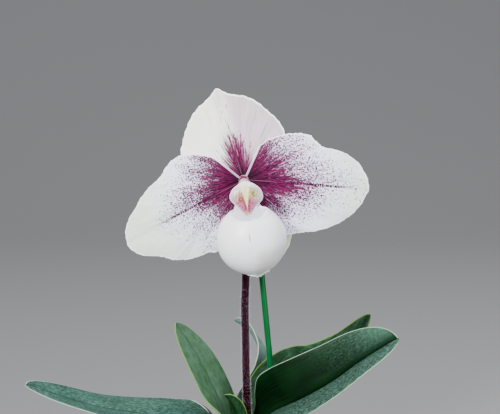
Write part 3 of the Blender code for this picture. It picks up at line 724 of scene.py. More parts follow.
stake_skin = Finish("stake_green_skin", 0.32, Specular_IOR_Level=0.16)
spot = stake_skin.place()
streak = stake_skin.noise(stake_skin.vector(stake_skin.part(spot, 0), 0.0, stake_skin.part(spot, 2) * 0.05),
                          2500.0, 2.0)
stake_skin.paint(stake_skin.blend(streak, shade(0, 66, 28), shade(2, 104, 50)))
along = (STAKE_TOP - STAKE_FOOT).normalized()
stake_rings = [(STAKE_FOOT + inward * along, share) for inward, share in STAKE_ENDS]
stake_rings += [(STAKE_TOP - inward * along, share) for inward, share in reversed(STAKE_ENDS)]
side = Vector((0.0, 1.0, 0.0)).cross(along).normalized()
other = along.cross(side)
stake_vertices = []
for middle, share in stake_rings:
    for j in range(STAKE_SIDES):
        angle = math.tau * j / STAKE_SIDES
        outward = math.cos(angle) * side + math.sin(angle) * other
        stake_vertices.append(middle + STAKE_RADIUS * share * outward)
stake = piece("stake", stake_vertices, end_to_end(len(stake_rings), STAKE_SIDES), stake_skin, ["stake"],
              "stake_green", crease=60.0)


# Leaves
# Six fleshy strap leaves clasp the crown with their sheaths and open into channelled blades.
# Each is creased along its midrib, mottled or plain green, with a thin pale margin.
LEAF_THICKNESS = 0.0012
LEAF_TIP_HALF_WIDTH = 0.00005
BLADE_CURL = 0.16
GROOVE_WIDTH = 0.0009
GROOVE_FULL_FROM = 0.004
LEAF_ROW_EASE = 1.8
TANGENT_STEP = 0.01
OPENING_SPAN = 0.75
TIP_ROLL_START = 0.65
TIP_ROLL_SPAN = 0.25
OUTER_SHEATH = 0.0089
MIDDLE_SHEATH = 0.0074
INNER_SHEATH = 0.0059
SHEATH_FOOT = 0.0800
NO_AREA = 1e-13


def sheet(name, grid, thickness, finish, nodes, slot, marks, wrapped=False):
    """Give a grid of points two faces, a thickness at each point, and a wall round its free edges."""
    rows, columns = grid.shape[:2]
    if wrapped:
        across = np.roll(grid, -1, axis=1) - np.roll(grid, 1, axis=1)
    else:
        across = np.gradient(grid, axis=1)
    normal = np.cross(np.gradient(grid, axis=0), across)
    size = np.linalg.norm(normal, axis=2, keepdims=True)
    for run, nearest in ((range(rows - 2, -1, -1), 1), (range(1, rows), -1)):
        for i in run:
            shut = size[i, :, 0] < NO_AREA
            normal[i, shut] = normal[i + nearest, shut]
            size[i, shut] = size[i + nearest, shut]
    normal = normal / size
    offset = normal * np.asarray(thickness)[..., None] / 2
    vertices = np.concatenate(((grid + offset).reshape(-1, 3), (grid - offset).reshape(-1, 3)))
    count = rows * columns
    faces = []
    for i in range(rows - 1):
        for j in range(columns if wrapped else columns - 1):
            a, b = i * columns + j, i * columns + (j + 1) % columns
            faces.append((a, b, b + columns, a + columns))
            faces.append((a + count, a + columns + count, b + columns + count, b + count))
    if wrapped:
        edges = [[row * columns + j for j in range(columns)] for row in (0, rows - 1)]
    else:
        edges = [[i * columns for i in range(rows - 1, -1, -1)] + list(range(1, columns))
                 + [i * columns + columns - 1 for i in range(1, rows)]
                 + [(rows - 1) * columns + j for j in range(columns - 2, 0, -1)]]
    for edge in edges:
        for a, b in zip(edge, edge[1:] + edge[:1]):
            faces.append((a, b, b + count, a + count))
    doubled = {mark: np.concatenate((values.ravel(), values.ravel())) for mark, values in marks.items()}
    doubled["front"] = np.concatenate((np.ones(count), np.zeros(count)))
    return piece(name, vertices, faces, finish, nodes, slot, 50.0, doubled)


def eased(share):
    """A share held between 0 and 1, with a soft start and end."""
    share = min(max(share, 0.0), 1.0)
    return share * share * (3 - 2 * share)


def leaf_grid(rib, azimuth, sheath, sheath_top, width, rise=0.45, blunt=8.0, taper=0.0, fold=0.0, roll=0.0,
              tip_roll=0.0, wave=0.0, waves=2.0, half_turn=70.0, sheath_foot=SHEATH_FOOT, rows=110, middle=18,
              groove=0.00035):
    """Points of a leaf's middle skin, with how far each lies across, along and from the margin, in mm.

    sheath: radius of the sheath, which wraps the crown by half_turn to either side. rise: the share of
    the length where the blade has its full width. blunt and taper: how round and how narrow the tip
    is. fold, roll and tip_roll: angles of the blade's halves, of the whole blade and of its tip.
    """
    azimuth = math.radians(azimuth)
    outward = Vector((math.cos(azimuth), math.sin(azimuth), 0.0))
    across = Vector((-math.sin(azimuth), math.cos(azimuth), 0.0))
    foot = sheath * outward + Vector((0.0, 0.0, sheath_foot))
    top = sheath * outward + Vector((0.0, 0.0, sheath_top))
    points = [foot, (foot + top) / 2, top] + [Vector(p) for p in rib]
    knots = chord_knots(points)
    length = sum((points[k + 1] - points[k]).length for k in range(len(points) - 1))
    open_from = knots[2]
    half_base = sheath * math.radians(half_turn)
    grid, sideways, lengthways, margin = [], [], [], []
    for i in range(rows):
        s = 1.0 - (1.0 - i / (rows - 1)) ** LEAF_ROW_EASE
        place = Vector(through(knots, points, s))
        ahead = Vector(through(knots, points, min(s + TANGENT_STEP, 1.0)))
        behind = Vector(through(knots, points, max(s - TANGENT_STEP, 0.0)))
        along = (ahead - behind).normalized()
        opened = eased((s - open_from) / (OPENING_SPAN * rise))
        half = half_base + (width / 2 - half_base) * eased((s - open_from) / (rise - open_from))
        half *= (1.0 - taper * max(s - rise, 0.0)) * math.sqrt(max(1.0 - s ** blunt, 0.0))
        half = max(half, LEAF_TIP_HALF_WIDTH)
        at_tip = min(max((s - TIP_ROLL_START) / TIP_ROLL_SPAN, 0.0), 1.0)
        turn = math.radians(roll * opened + tip_roll * at_tip)
        side = (across - across.dot(along) * along).normalized()
        up = along.cross(side)
        side, up = math.cos(turn) * side + math.sin(turn) * up, math.cos(turn) * up - math.sin(turn) * side
        curl = (1.0 - opened) / sheath - opened * BLADE_CURL / (width / 2)
        lift = math.radians(fold) * opened
        step = half / middle
        row = [None] * (2 * middle + 1)
        dip = opened * groove * min(half / GROOVE_FULL_FROM, 1.0)
        row[middle] = place - dip * up
        for direction in (-1, 1):
            spot = place.copy()
            for k in range(1, middle + 1):
                angle = lift + curl * step * (k - 0.5)
                spot = spot + step * (direction * math.cos(angle) * side + math.sin(angle) * up)
                ripple = wave * math.sin(math.tau * waves * s + direction) * (k / middle) ** 2
                sunk = dip * math.exp(-(k * step / GROOVE_WIDTH) ** 2)
                row[middle + direction * k] = spot + (opened * ripple - sunk) * up
        grid.append(row)
        offsets = [j - middle for j in range(2 * middle + 1)]
        sideways.append([off * step * 1000.0 for off in offsets])
        lengthways.append([s * length * 1000.0 for off in offsets])
        margin.append([(half - abs(off) * step) * 1000.0 for off in offsets])
    return (np.array([[tuple(p) for p in row] for row in grid]), np.array(sideways), np.array(lengthways),
            np.array(margin))


def leaf_finish(name, deep, middle_tone, light, rim, mottle, veins, roughness, scale=1.0, lit_half_tones=None,
                scar=None, paler=(-40.0, -20.0), fold=0.55):
    """A leaf's skin: greens in a fine net, faint veins along it, a darker crease and a pale margin.

    mottle and veins: how strong the net and the veins are. lit_half_tones: the two pale tones painted as
    light over the half that is turned up to the light. scar: where a thin white scratch starts and ends,
    across and along. paler: between which two distances along the leaf the net fades in. fold: how dark
    the painted shade in the crease is.
    """
    skin = Finish(name, roughness, Specular_IOR_Level=0.09)
    across, along, margin = skin.read("across"), skin.read("along"), skin.read("margin")
    warp = skin.noise(skin.vector(across * 0.5, along * 0.35), 1.0, 2.0)
    lie = skin.vector(across * 1.25 + 1.6 * warp, along * 0.62 + 1.2 * warp, 3.0)
    patch = skin.cells(lie, 0.62 * scale, 0, "SMOOTH_F1")
    fine = skin.noise(skin.vector(across * 1.6, along * 0.9), 1.3 * scale, 4.0, 0.7)
    broad = skin.noise(skin.vector(across * 0.12, along * 0.05), 1.0, 2.0)
    skin.tone = skin.blend(broad.ramp(0.3, 0.7), deep, middle_tone)
    speckle = (patch * 0.9 + 1.1 * fine - 0.42).ramp(0.26, 0.86)
    # On a leaf with a lit half, the pale net is held back beside the crease, so the blade reads darker there
    # as painted shade.
    net = speckle * across.ramp(0.5, 6.0) if lit_half_tones else speckle
    skin.over(net * (0.55 + 0.9 * broad) * along.ramp(*paler) * mottle, light)
    vein = skin.noise(skin.vector(across * 3.2, along * 0.02), 1.0, 1.0)
    skin.over(vein.ramp(0.55, 0.75) * veins, light)
    if lit_half_tones:
        # The other half is painted paler towards its tip.
        paler_towards_tip = along.ramp(0.70 * paler[1], 1.1 * paler[1]) * across.ramp(0.0, 7.0)
        skin.over(paler_towards_tip * 0.80, light)
        # Painted light: the half of the blade that is turned up to the light is painted in two pale tones.
        skin.over(across.ramp(0.2, -1.2) * 0.95, skin.blend(speckle, *lit_half_tones))
    # Painted shade in the midrib crease.
    crease = abs(across).ramp(0.9, 0.15)
    skin.over(crease * fold, tuple(0.45 * c for c in deep))
    edge = margin.ramp(0.28, 0.09)
    skin.over(edge * 0.85, rim)
    if scar:
        (start_across, start_along), (end_across, end_along) = scar
        run_across, run_along = end_across - start_across, end_along - start_along
        length = math.hypot(run_across, run_along)
        reach = ((across - start_across) * run_across + (along - start_along) * run_along) / length
        off = abs((across - start_across) * run_along - (along - start_along) * run_across) / length
        scratch = off.ramp(0.30, 0.14) * reach.ramp(-0.2, 0.0) * reach.ramp(length + 0.2, length)
        raw = skin.blend(reach.ramp(length * 0.7, length), shade(246, 244, 240), shade(206, 150, 132))
        skin.over(scratch * 0.9, raw)
    skin.paint(skin.tone, roughness + 0.12 * fine)
    skin.relief(vein * 0.7 + 0.3 * fine, 0.00012)
    return skin


def leaf(name, slot, skin, **shape):
    """One leaf, thick along its midrib and thinner at its margin."""
    grid, across, along, margin = leaf_grid(**shape)
    thick = LEAF_THICKNESS * (0.55 + 0.45 * np.clip(margin / 5.0, 0.0, 1.0))
    thick *= np.clip(0.35 + margin / 0.6, 0.0, 1.0)
    return sheet(name, grid, thick, skin, [name], slot, {"across": across, "along": along, "margin": margin})


mottled_skin = leaf_finish("leaf_mottled_skin", shade(22, 60, 48), shade(40, 82, 68), shade(112, 152, 138),
                           shade(190, 212, 196), 0.45, 0.15, 0.42, 1.9, scar=((-14.4, 27.6), (-10.3, 22.4)))
upper_skin = leaf_finish("leaf_upper_skin", shade(48, 80, 50), shade(58, 90, 68), shade(106, 138, 118),
                         shade(126, 176, 78), 0.22, 0.22, 0.48, 1.0, fold=0.22)
front_skin = leaf_finish("leaf_front_skin", shade(0, 20, 3), shade(2, 36, 10), shade(88, 132, 112),
                         shade(156, 194, 156), 0.44, 0.06, 0.42, 2.4,
                         lit_half_tones=(shade(20, 50, 38), shade(86, 116, 106)), paler=(48.0, 98.0))
back_skin = leaf_finish("leaf_right_back_skin", shade(18, 48, 24), shade(34, 72, 44), shade(96, 130, 110),
                        shade(112, 158, 48), 0.28, 0.25, 0.48, 1.2)
pale_skin = leaf_finish("leaf_pale_skin", shade(82, 118, 104), shade(108, 144, 130), shade(150, 180, 166),
                        shade(186, 206, 190), 0.30, 0.30, 0.52, 0.8)
young_skin = leaf_finish("leaf_young_skin", shade(8, 38, 14), shade(22, 60, 34), shade(64, 104, 62),
                         shade(128, 166, 84), 0.30, 0.25, 0.46, 1.4)

leaf_left_low = leaf(
    "leaf_left_low", "leaf_mottled", mottled_skin,
    rib=[(-0.0150, -0.0055, 0.1006), (-0.0260, -0.0110, 0.1056), (-0.0400, -0.0180, 0.1103),
         (-0.0586, -0.0280, 0.1168), (-0.0714, -0.0350, 0.1230), (-0.0834, -0.0418, 0.1299)],
    azimuth=200.0, sheath=OUTER_SHEATH, sheath_top=0.0900, width=0.031, rise=0.31, blunt=5.0, taper=0.72,
    fold=8.0, roll=-14.0, wave=0.0008, waves=1.6, half_turn=48.0)
leaf_left_upper = leaf(
    "leaf_left_upper", "leaf_plain", upper_skin,
    rib=[(-0.0100, 0.0020, 0.1080), (-0.0146, 0.0035, 0.1185), (-0.0203, 0.0060, 0.1290),
         (-0.0286, 0.0090, 0.1410)],
    azimuth=172.0, sheath=MIDDLE_SHEATH, sheath_top=0.0960, width=0.0180, blunt=3.4, fold=10.0, roll=-35.0,
    wave=0.0004, half_turn=55.0)
leaf_right_front = leaf(
    "leaf_right_front", "leaf_dark", front_skin,
    rib=[(0.0092, -0.0018, 0.1042), (0.0126, -0.0050, 0.1080), (0.0172, -0.0082, 0.1112),
         (0.0232, -0.0105, 0.1148), (0.0347, -0.0130, 0.1223), (0.0471, -0.0138, 0.1317),
         (0.0608, -0.0138, 0.1405)],
    azimuth=8.0, sheath=MIDDLE_SHEATH, sheath_top=0.1000, width=0.034, rise=0.37, blunt=7.0, taper=0.25,
    fold=40.0, roll=37.5, wave=0.0006, half_turn=62.0)
leaf_right_back = leaf(
    "leaf_right_back", "leaf_plain", back_skin,
    rib=[(0.0062, 0.0115, 0.1040), (0.0104, 0.0160, 0.1090), (0.0168, 0.0195, 0.1140),
         (0.0296, 0.0228, 0.1195), (0.0400, 0.0250, 0.1265), (0.0526, 0.0280, 0.1400)],
    azimuth=60.0, sheath=OUTER_SHEATH, sheath_top=0.0930, width=0.028, blunt=2.6, taper=0.5, fold=45.0,
    roll=30.0, wave=0.0006, half_turn=29.0)
leaf_back = leaf(
    "leaf_back", "leaf_pale", pale_skin,
    rib=[(-0.0030, 0.0140, 0.1035), (0.0012, 0.0205, 0.1115), (0.0055, 0.0255, 0.1185),
         (0.0062, 0.0290, 0.1246), (0.0036, 0.0330, 0.1300), (0.0000, 0.0370, 0.1330),
         (-0.0046, 0.0405, 0.1345)],
    azimuth=121.0, sheath=OUTER_SHEATH, sheath_top=0.0920, width=0.0100, blunt=9.0, fold=15.0, roll=36.0,
    tip_roll=22.0, half_turn=21.0, rows=90, middle=10)
leaf_young = leaf(
    "leaf_young", "leaf_dark", young_skin,
    rib=[(-0.0038, -0.0066, 0.1085), (-0.0054, -0.0084, 0.1127), (-0.0080, -0.0100, 0.1162)],
    azimuth=236.0, sheath=INNER_SHEATH, sheath_top=0.1025, width=0.0140, blunt=4.0, fold=36.0, roll=8.0,
    half_turn=49.0, rows=70, middle=14)


# Flower stem, ovary and bract
# The flower stem is a wiry maroon stalk, furred all round with short pale lilac hairs.
# The ribbed ovary bends forward from its top, out of a small folded bract.
SCAPE_RADIUS = 0.00155
OVARY_FOOT = 0.176
OVARY_RIBS = 6
OVARY_RIB = 0.05
FLOWER_CENTRE = Vector((-0.0006, -0.0220, 0.2056))
FLOWER_TILT = math.radians(10.0)
RECEPTACLE_RADIUS = 0.00155
RECEPTACLE_FRONT = 0.0010
BRACT_THICKNESS = 0.0005
HAIR_LENGTH = 0.00095
HAIR_RADIUS = 0.000030


def flower_point(u, v, w):
    """Place a point of the flower's frame in the world: u right, v up its face, w out of it."""
    up = Vector((0.0, math.sin(FLOWER_TILT), math.cos(FLOWER_TILT)))
    out = Vector((0.0, -math.cos(FLOWER_TILT), math.sin(FLOWER_TILT)))
    return FLOWER_CENTRE + Vector((float(u), 0.0, 0.0)) + float(v) * up + float(w) * out


scape_skin = Finish("scape_skin", 0.62, Specular_IOR_Level=0.05)
spot = scape_skin.place()
streaks = scape_skin.drawn_out(spot, 0.08, 2600.0, 3.0)
scape_skin.paint(scape_skin.blend(streaks.ramp(0.35, 0.65), shade(6, 0, 1), shade(46, 0, 8)))
scape_skin.relief(streaks, 0.0001)
scape_points = [(0.0009, 0.0, CROWN_TOP + SEAT), (0.00075, 0.0, 0.107), (0.0003, 0.0, 0.122),
                (0.00015, 0.0, 0.136), (-0.00015, 0.0, 0.150), (0.0002, 0.0, 0.163), (0.0, 0.0, OVARY_FOOT)]
scape_radii = [SCAPE_RADIUS * 1.12] + [SCAPE_RADIUS] * 6
scape = piece("scape", *stem(scape_points, scape_radii, 90, 32), scape_skin, ["scape"], "scape_maroon")

ovary_skin = Finish("ovary_skin", 0.62, Specular_IOR_Level=0.15)
spot = ovary_skin.place()
streaks = ovary_skin.noise(spot, 1200.0, 3.0)
forward = ovary_skin.part(spot, 1)
ovary_skin.tone = ovary_skin.blend(streaks, shade(88, 44, 44), shade(120, 92, 60))
ovary_skin.over(forward.ramp(-0.0175, -0.0220), shade(92, 16, 58))
ovary_skin.paint(ovary_skin.tone)
ovary_points = [(0.0, 0.0, OVARY_FOOT + SEAT), (0.0, 0.0002, 0.184), (-0.0002, -0.0022, 0.194),
                (-0.0004, -0.0090, 0.2008), tuple(flower_point(0.0, -0.0002, -0.0045)),
                tuple(flower_point(0.0, 0.0, -0.0024)), tuple(flower_point(0.0, 0.0, RECEPTACLE_FRONT))]
ovary_radii = [0.0016, 0.0019, 0.0023, 0.0023, 0.0020, RECEPTACLE_RADIUS, RECEPTACLE_RADIUS]
ovary = piece("ovary", *stem(ovary_points, ovary_radii, 80, 48, OVARY_RIBS, OVARY_RIB), ovary_skin, ["ovary"],
              "ovary_purple")

bract_skin = leaf_finish("bract_skin", shade(92, 84, 40), shade(112, 108, 54), shade(138, 120, 74),
                         shade(120, 70, 60), 0.35, 0.60, 0.55, 1.0)
grid, across, along, margin = leaf_grid(
    rib=[(0.0, 0.0042, 0.1850), (0.0, 0.0058, 0.1900), (0.0, 0.0082, 0.1945)], azimuth=90.0, sheath=0.0026,
    sheath_foot=0.1735, sheath_top=0.1800, width=0.0085, rise=0.4, blunt=3.0, taper=0.5, half_turn=105.0,
    rows=60, middle=14, groove=0.0001)
bract_thick = BRACT_THICKNESS * np.clip(0.4 + margin / 0.6, 0.0, 1.0)
bract = sheet("bract", grid, bract_thick, bract_skin, ["bract"], "bract_green",
              {"across": across, "along": along, "margin": margin})

hair_skin = Finish("hair_lilac_skin", 0.5)
hair_skin.paint(shade(216, 198, 232))


def one_hair(name):
    """A single three-sided tapering hair that stands on the origin and bends a little."""
    vertices = []
    for height, reach in ((-0.06, 1.0), (0.55, 0.75)):
        for j in range(3):
            angle = math.tau * j / 3
            thick = HAIR_RADIUS * reach
            bend = 0.08 * HAIR_LENGTH * max(height, 0.0) ** 2
            vertices.append((thick * math.cos(angle) + bend, thick * math.sin(angle), HAIR_LENGTH * height))
    vertices.append((0.12 * HAIR_LENGTH, 0.0, HAIR_LENGTH))
    faces = [(2, 1, 0)] + [(j, (j + 1) % 3, 3 + (j + 1) % 3, 3 + j) for j in range(3)]
    faces += [(3 + j, 3 + (j + 1) % 3, 6) for j in range(3)]
    return piece(name, vertices, faces, hair_skin, None, None, 80.0)


scape_hairs = strewn("scape_hairs", scape.data.copy(), one_hair("scape_hair"), hair_skin, "scape_maroon", 3,
                     Density=3300000.0, Smallest=0.6, Largest=1.0, Turn=math.tau, Lean=0.12)
ovary_hairs = strewn("ovary_hairs", ovary.data.copy(), one_hair("ovary_hair"), hair_skin, "ovary_purple", 4,
                     Density=6500000.0, Smallest=0.35, Largest=0.75, Turn=math.tau, Lean=0.35)


# Sepals and petals
# Thin, soft blades fanned round the bloom's centre, white and a little green towards their tips.
# Their bases carry dense magenta streaks, which break into rows of small dots further out.
TEPAL_THICKNESS = 0.0008
TEPAL_SEAT = SEAT + 0.0001
KEEL_WIDTH = 0.0028
EDGE_WAVER = 0.00012
EDGE_FLUTTER = 0.00008
EDGE_INSET = 0.00015
EDGE_WAVE = 0.00035
EDGE_RIPPLE = 0.00022
FRILL_RATE = 210.0
FRILL_FADE = 2.0
TEPAL_ROW_EASE = 1.15
BORDER_HEIGHT = 0.00045
BORDER_WIDTH = 0.0007
BORDER_FULL_FROM = 0.004
COOL_WHITE = shade(222, 226, 244)
WARM_WHITE = shade(238, 236, 232)
GREEN_WHITE = shade(220, 230, 214)


def tepal_grid(length, outline, midrib, base_depth, sag, keel, ripple, ripples, rows=54, between=8,
               frill=None, raised=None):
    """Points of a sepal or petal, with the angle, distance, margin and rib distance of each, in mm.

    outline: pairs of an angle and a share of the length. midrib: its angle. base_depth: where its inner
    end stands. sag, keel and ripple: how far it falls back, is grooved and is waved. frill: spans of
    angle with a finely waved edge. raised: which side, 0 or -1, has a raised border.
    """
    angles = [math.radians(a) for a, _ in outline]
    reaches = [r * length for _, r in outline]
    inner = RECEPTACLE_RADIUS + TEPAL_SEAT
    columns = (len(outline) - 1) * between + 1
    turns = [float(np.interp(j / between, range(len(angles)), angles)) for j in range(columns)]
    edge = []
    for angle in turns:
        reach = float(through(angles, reaches, angle))
        degrees = math.degrees(angle)
        waver = EDGE_WAVER * math.sin(57.0 * angle) + EDGE_FLUTTER * math.sin(131.0 * angle + 1.0)
        for low, high, size in frill or []:
            inside = min(max((degrees - low) / FRILL_FADE, 0.0), 1.0)
            inside *= min(max((high - degrees) / FRILL_FADE, 0.0), 1.0)
            waver += inside * size * math.sin(FRILL_RATE * angle)
        edge.append(reach + waver - EDGE_INSET)
    grid = np.zeros((rows, columns, 3))
    turn, far, margin, rib = (np.zeros((rows, columns)) for _ in range(4))
    for i in range(rows):
        share = 1.0 - (1.0 - i / (rows - 1)) ** TEPAL_ROW_EASE
        for j, angle in enumerate(turns):
            distance = inner + (edge[j] - inner) * share
            off_rib = angle - math.radians(midrib)
            portion = distance / length
            depth = base_depth - sag * portion ** 2
            depth -= keel * math.exp(-(off_rib * distance / KEEL_WIDTH) ** 2)
            depth += ripple * math.sin(ripples * off_rib + 0.6) * (distance / edge[j]) ** 3 * portion
            outer = (distance / edge[j]) ** 7 * portion
            waves = EDGE_WAVE * math.sin(11.0 * off_rib + 1.3) + EDGE_RIPPLE * math.sin(23.0 * off_rib)
            depth += outer * waves
            gap = min(edge[j] - distance, distance * (angle - angles[0]), distance * (angles[-1] - angle))
            if raised is not None:
                to_side = distance * abs(angle - angles[raised])
                border = BORDER_HEIGHT * math.exp(-(to_side / BORDER_WIDTH) ** 2)
                depth += border * min(distance / BORDER_FULL_FROM, 1.0)
            grid[i, j] = flower_point(distance * math.cos(angle), distance * math.sin(angle), depth)
            turn[i, j] = angle
            far[i, j] = distance * 1000.0
            margin[i, j] = gap * 1000.0
            rib[i, j] = math.sin(off_rib) * distance * 1000.0
    return grid, turn, far, margin, rib


def tepal_finish(name, white, tip, core, seed, lean=0.0, narrow=0.0, shaded_side=0.0, apart=0.0, rib_dots=1.0,
                 outer_dots=1.0):
    """White tissue with magenta streaks at its base that break into rows of dots outwards.

    core: how far the dense colour reaches, in mm. lean: how much further it runs along the midrib.
    narrow: how much less far it runs at the sides. shaded_side: how strong the greyish pink on one side
    of the midrib is, partly the tissue's own pink and partly painted shade on the side turned from the
    light. apart: how much white lies between the streaks. rib_dots and outer_dots: how strong the dotted
    line on the midrib and the dots out on the blade are.
    """
    skin = Finish(name, 0.55, Specular_IOR_Level=0.05, Subsurface_Weight=0.10, Subsurface_Scale=0.0005,
                  Subsurface_Radius=(1.0, 0.85, 0.9), Sheen_Weight=0.05)
    turn, far = skin.read("turn"), skin.read("far")
    margin, rib = skin.read("margin"), skin.read("rib")
    fan = skin.vector(turn * 27.0, far * 0.16, seed)
    streak = skin.noise(fan, 1.0, 2.5, 0.6)
    fine = skin.noise(skin.vector(turn * 70.0, far * 0.42, seed + 4.0), 1.0, 2.0, 0.6)
    dashes = skin.noise(skin.vector(turn * 46.0, far * 1.25, seed + 5.0), 1.0, 2.0, 0.6)
    broad = skin.noise(skin.vector(turn * 3.5, far * 0.06, seed + 9.0), 1.0, 1.0)
    off = abs(rib / far)
    limit = (core + lean * off.ramp(0.42, 0.0) + 12.0 * (broad - 0.5)) * (1.0 - narrow * off.ramp(0.20, 0.75))
    depth = far / limit
    breaking = depth.ramp(0.70, 1.20) * (0.2 + 0.8 * outer_dots)
    grain = (streak * 0.55 + fine * 0.45) * (1.0 - breaking) + (dashes * 0.8 + streak * 0.2) * breaking
    cover = (grain - 0.325 - apart - 0.160 * depth).ramp(-0.04, 0.04)
    seeds = skin.vector(turn * 34.0, far * 0.95, seed + 2.0)
    lot = skin.part(skin.cells(seeds, 1.0, 1), 0)
    keep = (depth.ramp(2.4, 0.95) * 1.1 - lot).ramp(0.0, 0.08)
    swell = depth.ramp(2.2, 1.0) * 0.20
    dots = (skin.cells(seeds, 1.0, 0) + 0.16 * lot).ramp(swell + 0.28, swell + 0.16) * keep * outer_dots
    small = skin.vector(turn * 62.0, far * 1.7, seed + 6.0)
    keep = (depth.ramp(2.1, 0.8) - skin.part(skin.cells(small, 1.0, 1), 0)).ramp(0.0, 0.08)
    specks = skin.cells(small, 1.0, 0).ramp(0.46, 0.30) * keep * outer_dots
    line = abs(rib + 0.7 * (streak - 0.5)).ramp(0.58, 0.34)
    beads = skin.noise(skin.vector(far * 2.3, seed), 1.0, 1.0).ramp(0.39, 0.50)
    rib_line = line * beads * far.ramp(core * 2.8, core * 2.1) * far.ramp(core * 0.8, core * 1.1) * rib_dots
    white_tone = skin.blend(far.ramp(core * 1.6, core * 3.2), white, tip)
    # Greyish pink on one side of the midrib: partly the tissue's own pink and partly painted shade on the
    # side turned away from the light.
    if shaded_side:
        white_tone = skin.blend(rib.ramp(1.0, -4.0) * shaded_side, white_tone, shade(176, 158, 172))
    blush = depth.ramp(2.1, 0.9) * 0.45 * (0.3 + 0.7 * outer_dots)
    white_tone = skin.blend(blush, white_tone, shade(204, 164, 204))
    haze = (depth + 0.8 * (fine - 0.5)).ramp(1.35, 0.45) * (0.92 - 3.0 * apart)
    # Painted shade: a soft grey line down the midrib's crease.
    crease = abs(rib).ramp(1.3, 0.0) * far.ramp(core * 0.8, core * 1.4)
    white_tone = skin.blend(crease * 0.35, white_tone, tuple(0.72 * c for c in white))
    skin.tone = skin.blend(haze, white_tone, shade(140, 34, 106))
    dot_colour = skin.blend(depth.ramp(1.0, 1.9), shade(84, 8, 72), shade(62, 32, 84))
    skin.over(specks * 0.85, dot_colour)
    skin.over(dots * 0.92, dot_colour)
    magenta = skin.blend((streak * 0.6 + fine * 0.4).ramp(0.47, 0.57), shade(10, 0, 10), shade(98, 0, 62))
    magenta = skin.blend(depth.ramp(0.55, 0.05), magenta, shade(26, 0, 14))
    skin.over(cover * 0.96, magenta)
    skin.over(rib_line, shade(58, 4, 44))
    pale_rib = abs(rib - 0.12).ramp(0.22, 0.06) * far.ramp(core * 0.95, core * 0.45) * far.ramp(1.8, 3.0)
    skin.over(pale_rib * 0.36, shade(170, 92, 136))
    edge = margin.ramp(0.85, 0.45)
    skin.over(edge, skin.blend(far.ramp(15.0, 5.0), shade(244, 244, 248), shade(196, 168, 200)))
    skin.over(skin.read("front").ramp(0.7, 0.3) * 0.45, white)
    skin.paint(skin.tone)
    veins = skin.noise(skin.vector(turn * 30.0, far * 0.06, seed), 1.0, 1.5)
    folds = skin.noise(skin.vector(turn * 7.0, far * 0.09, seed + 8.0), 1.0, 1.0)
    skin.relief(veins * 0.30 + 0.12 * streak + folds, 0.0011)
    return skin


def tepal(name, slot, skin, length, outline, midrib, **shape):
    """One sepal or petal, thinner at its margin."""
    grid, turn, far, margin, rib = tepal_grid(length, outline, midrib, **shape)
    thick = TEPAL_THICKNESS * np.clip(0.35 + margin / 4.0, 0.35, 0.85)
    marks = {"turn": turn, "far": far, "margin": margin, "rib": rib}
    return sheet(name, grid, thick, skin, [name], slot, marks)


dorsal_skin = tepal_finish("dorsal_sepal_skin", WARM_WHITE, shade(228, 230, 206), 11.8, 3.0, lean=5.5,
                           narrow=0.45, apart=0.015, shaded_side=0.8, rib_dots=0.0, outer_dots=0.06)
left_skin = tepal_finish("petal_left_skin", COOL_WHITE, GREEN_WHITE, 14.2, 21.0, lean=4.5, apart=-0.02)
right_skin = tepal_finish("petal_right_skin", COOL_WHITE, GREEN_WHITE, 16.6, 47.0, lean=6.5)
lower_skin = tepal_finish("synsepal_skin", WARM_WHITE, shade(222, 222, 176), 9.0, 71.0, rib_dots=0.0,
                          outer_dots=0.0)

dorsal_outline = [(22, 0.29), (34, 0.50), (47, 0.64), (60, 0.72), (71.5, 0.77), (82, 0.84), (90, 0.88),
                  (98, 0.905), (103.5, 0.955), (106, 1.0), (109.5, 0.965), (115, 0.918), (121, 0.895),
                  (127, 0.868), (138, 0.802), (149, 0.743), (159, 0.69), (167, 0.52), (173, 0.27)]
dorsal_sepal = tepal("dorsal_sepal", "sepal_cream", dorsal_skin, 0.0373, dorsal_outline, 106.0,
                     base_depth=-0.0018, sag=0.0030, keel=0.0011, ripple=0.0012, ripples=3.1)
left_outline = [(141, 0.26), (147, 0.336), (153, 0.425), (158.7, 0.507), (165, 0.56), (171.3, 0.596),
                (178.6, 0.634), (183.7, 0.703), (188.9, 0.773), (195.7, 0.861), (200, 0.933), (204, 0.975),
                (208.7, 1.0), (212.5, 0.992), (217.7, 0.933), (222.5, 0.85), (227.2, 0.812), (233, 0.752),
                (238, 0.691), (244, 0.609), (250.4, 0.57), (257, 0.46), (263, 0.25)]
petal_left = tepal("petal_left", "petal_white", left_skin, 0.0515, left_outline, 208.0, base_depth=0.0005,
                   sag=0.0055, keel=0.0004, ripple=0.0016, ripples=4.3, raised=0,
                   frill=[(150, 175, 0.00018), (222, 240, 0.00014)])
right_outline = [(-76, 0.23), (-67, 0.42), (-58, 0.52), (-49, 0.573), (-42, 0.623), (-33.8, 0.719),
                 (-24.4, 0.83), (-18.6, 0.893), (-13.6, 0.94), (-8.4, 0.975), (-3.9, 1.0), (3.3, 0.966),
                 (9.5, 0.911), (14.1, 0.844), (18, 0.775), (21, 0.705), (25, 0.668), (29.6, 0.648),
                 (33.3, 0.639), (38.5, 0.592), (47.3, 0.495), (53, 0.43), (59.6, 0.367), (66, 0.277)]
petal_right = tepal("petal_right", "petal_white", right_skin, 0.0488, right_outline, -4.0, base_depth=0.0005,
                    sag=0.0050, keel=0.0004, ripple=0.0014, ripples=4.6, raised=-1,
                    frill=[(32, 50, 0.00022), (-52, -35, 0.00022), (5, 20, 0.0001)])
lower_outline = [(203, 0.24), (212, 0.40), (223, 0.54), (236, 0.66), (250, 0.75), (262, 0.86), (272, 0.96),
                 (278.6, 1.0), (285, 0.965), (295, 0.885), (306, 0.80), (318, 0.65), (329, 0.46), (338, 0.25)]
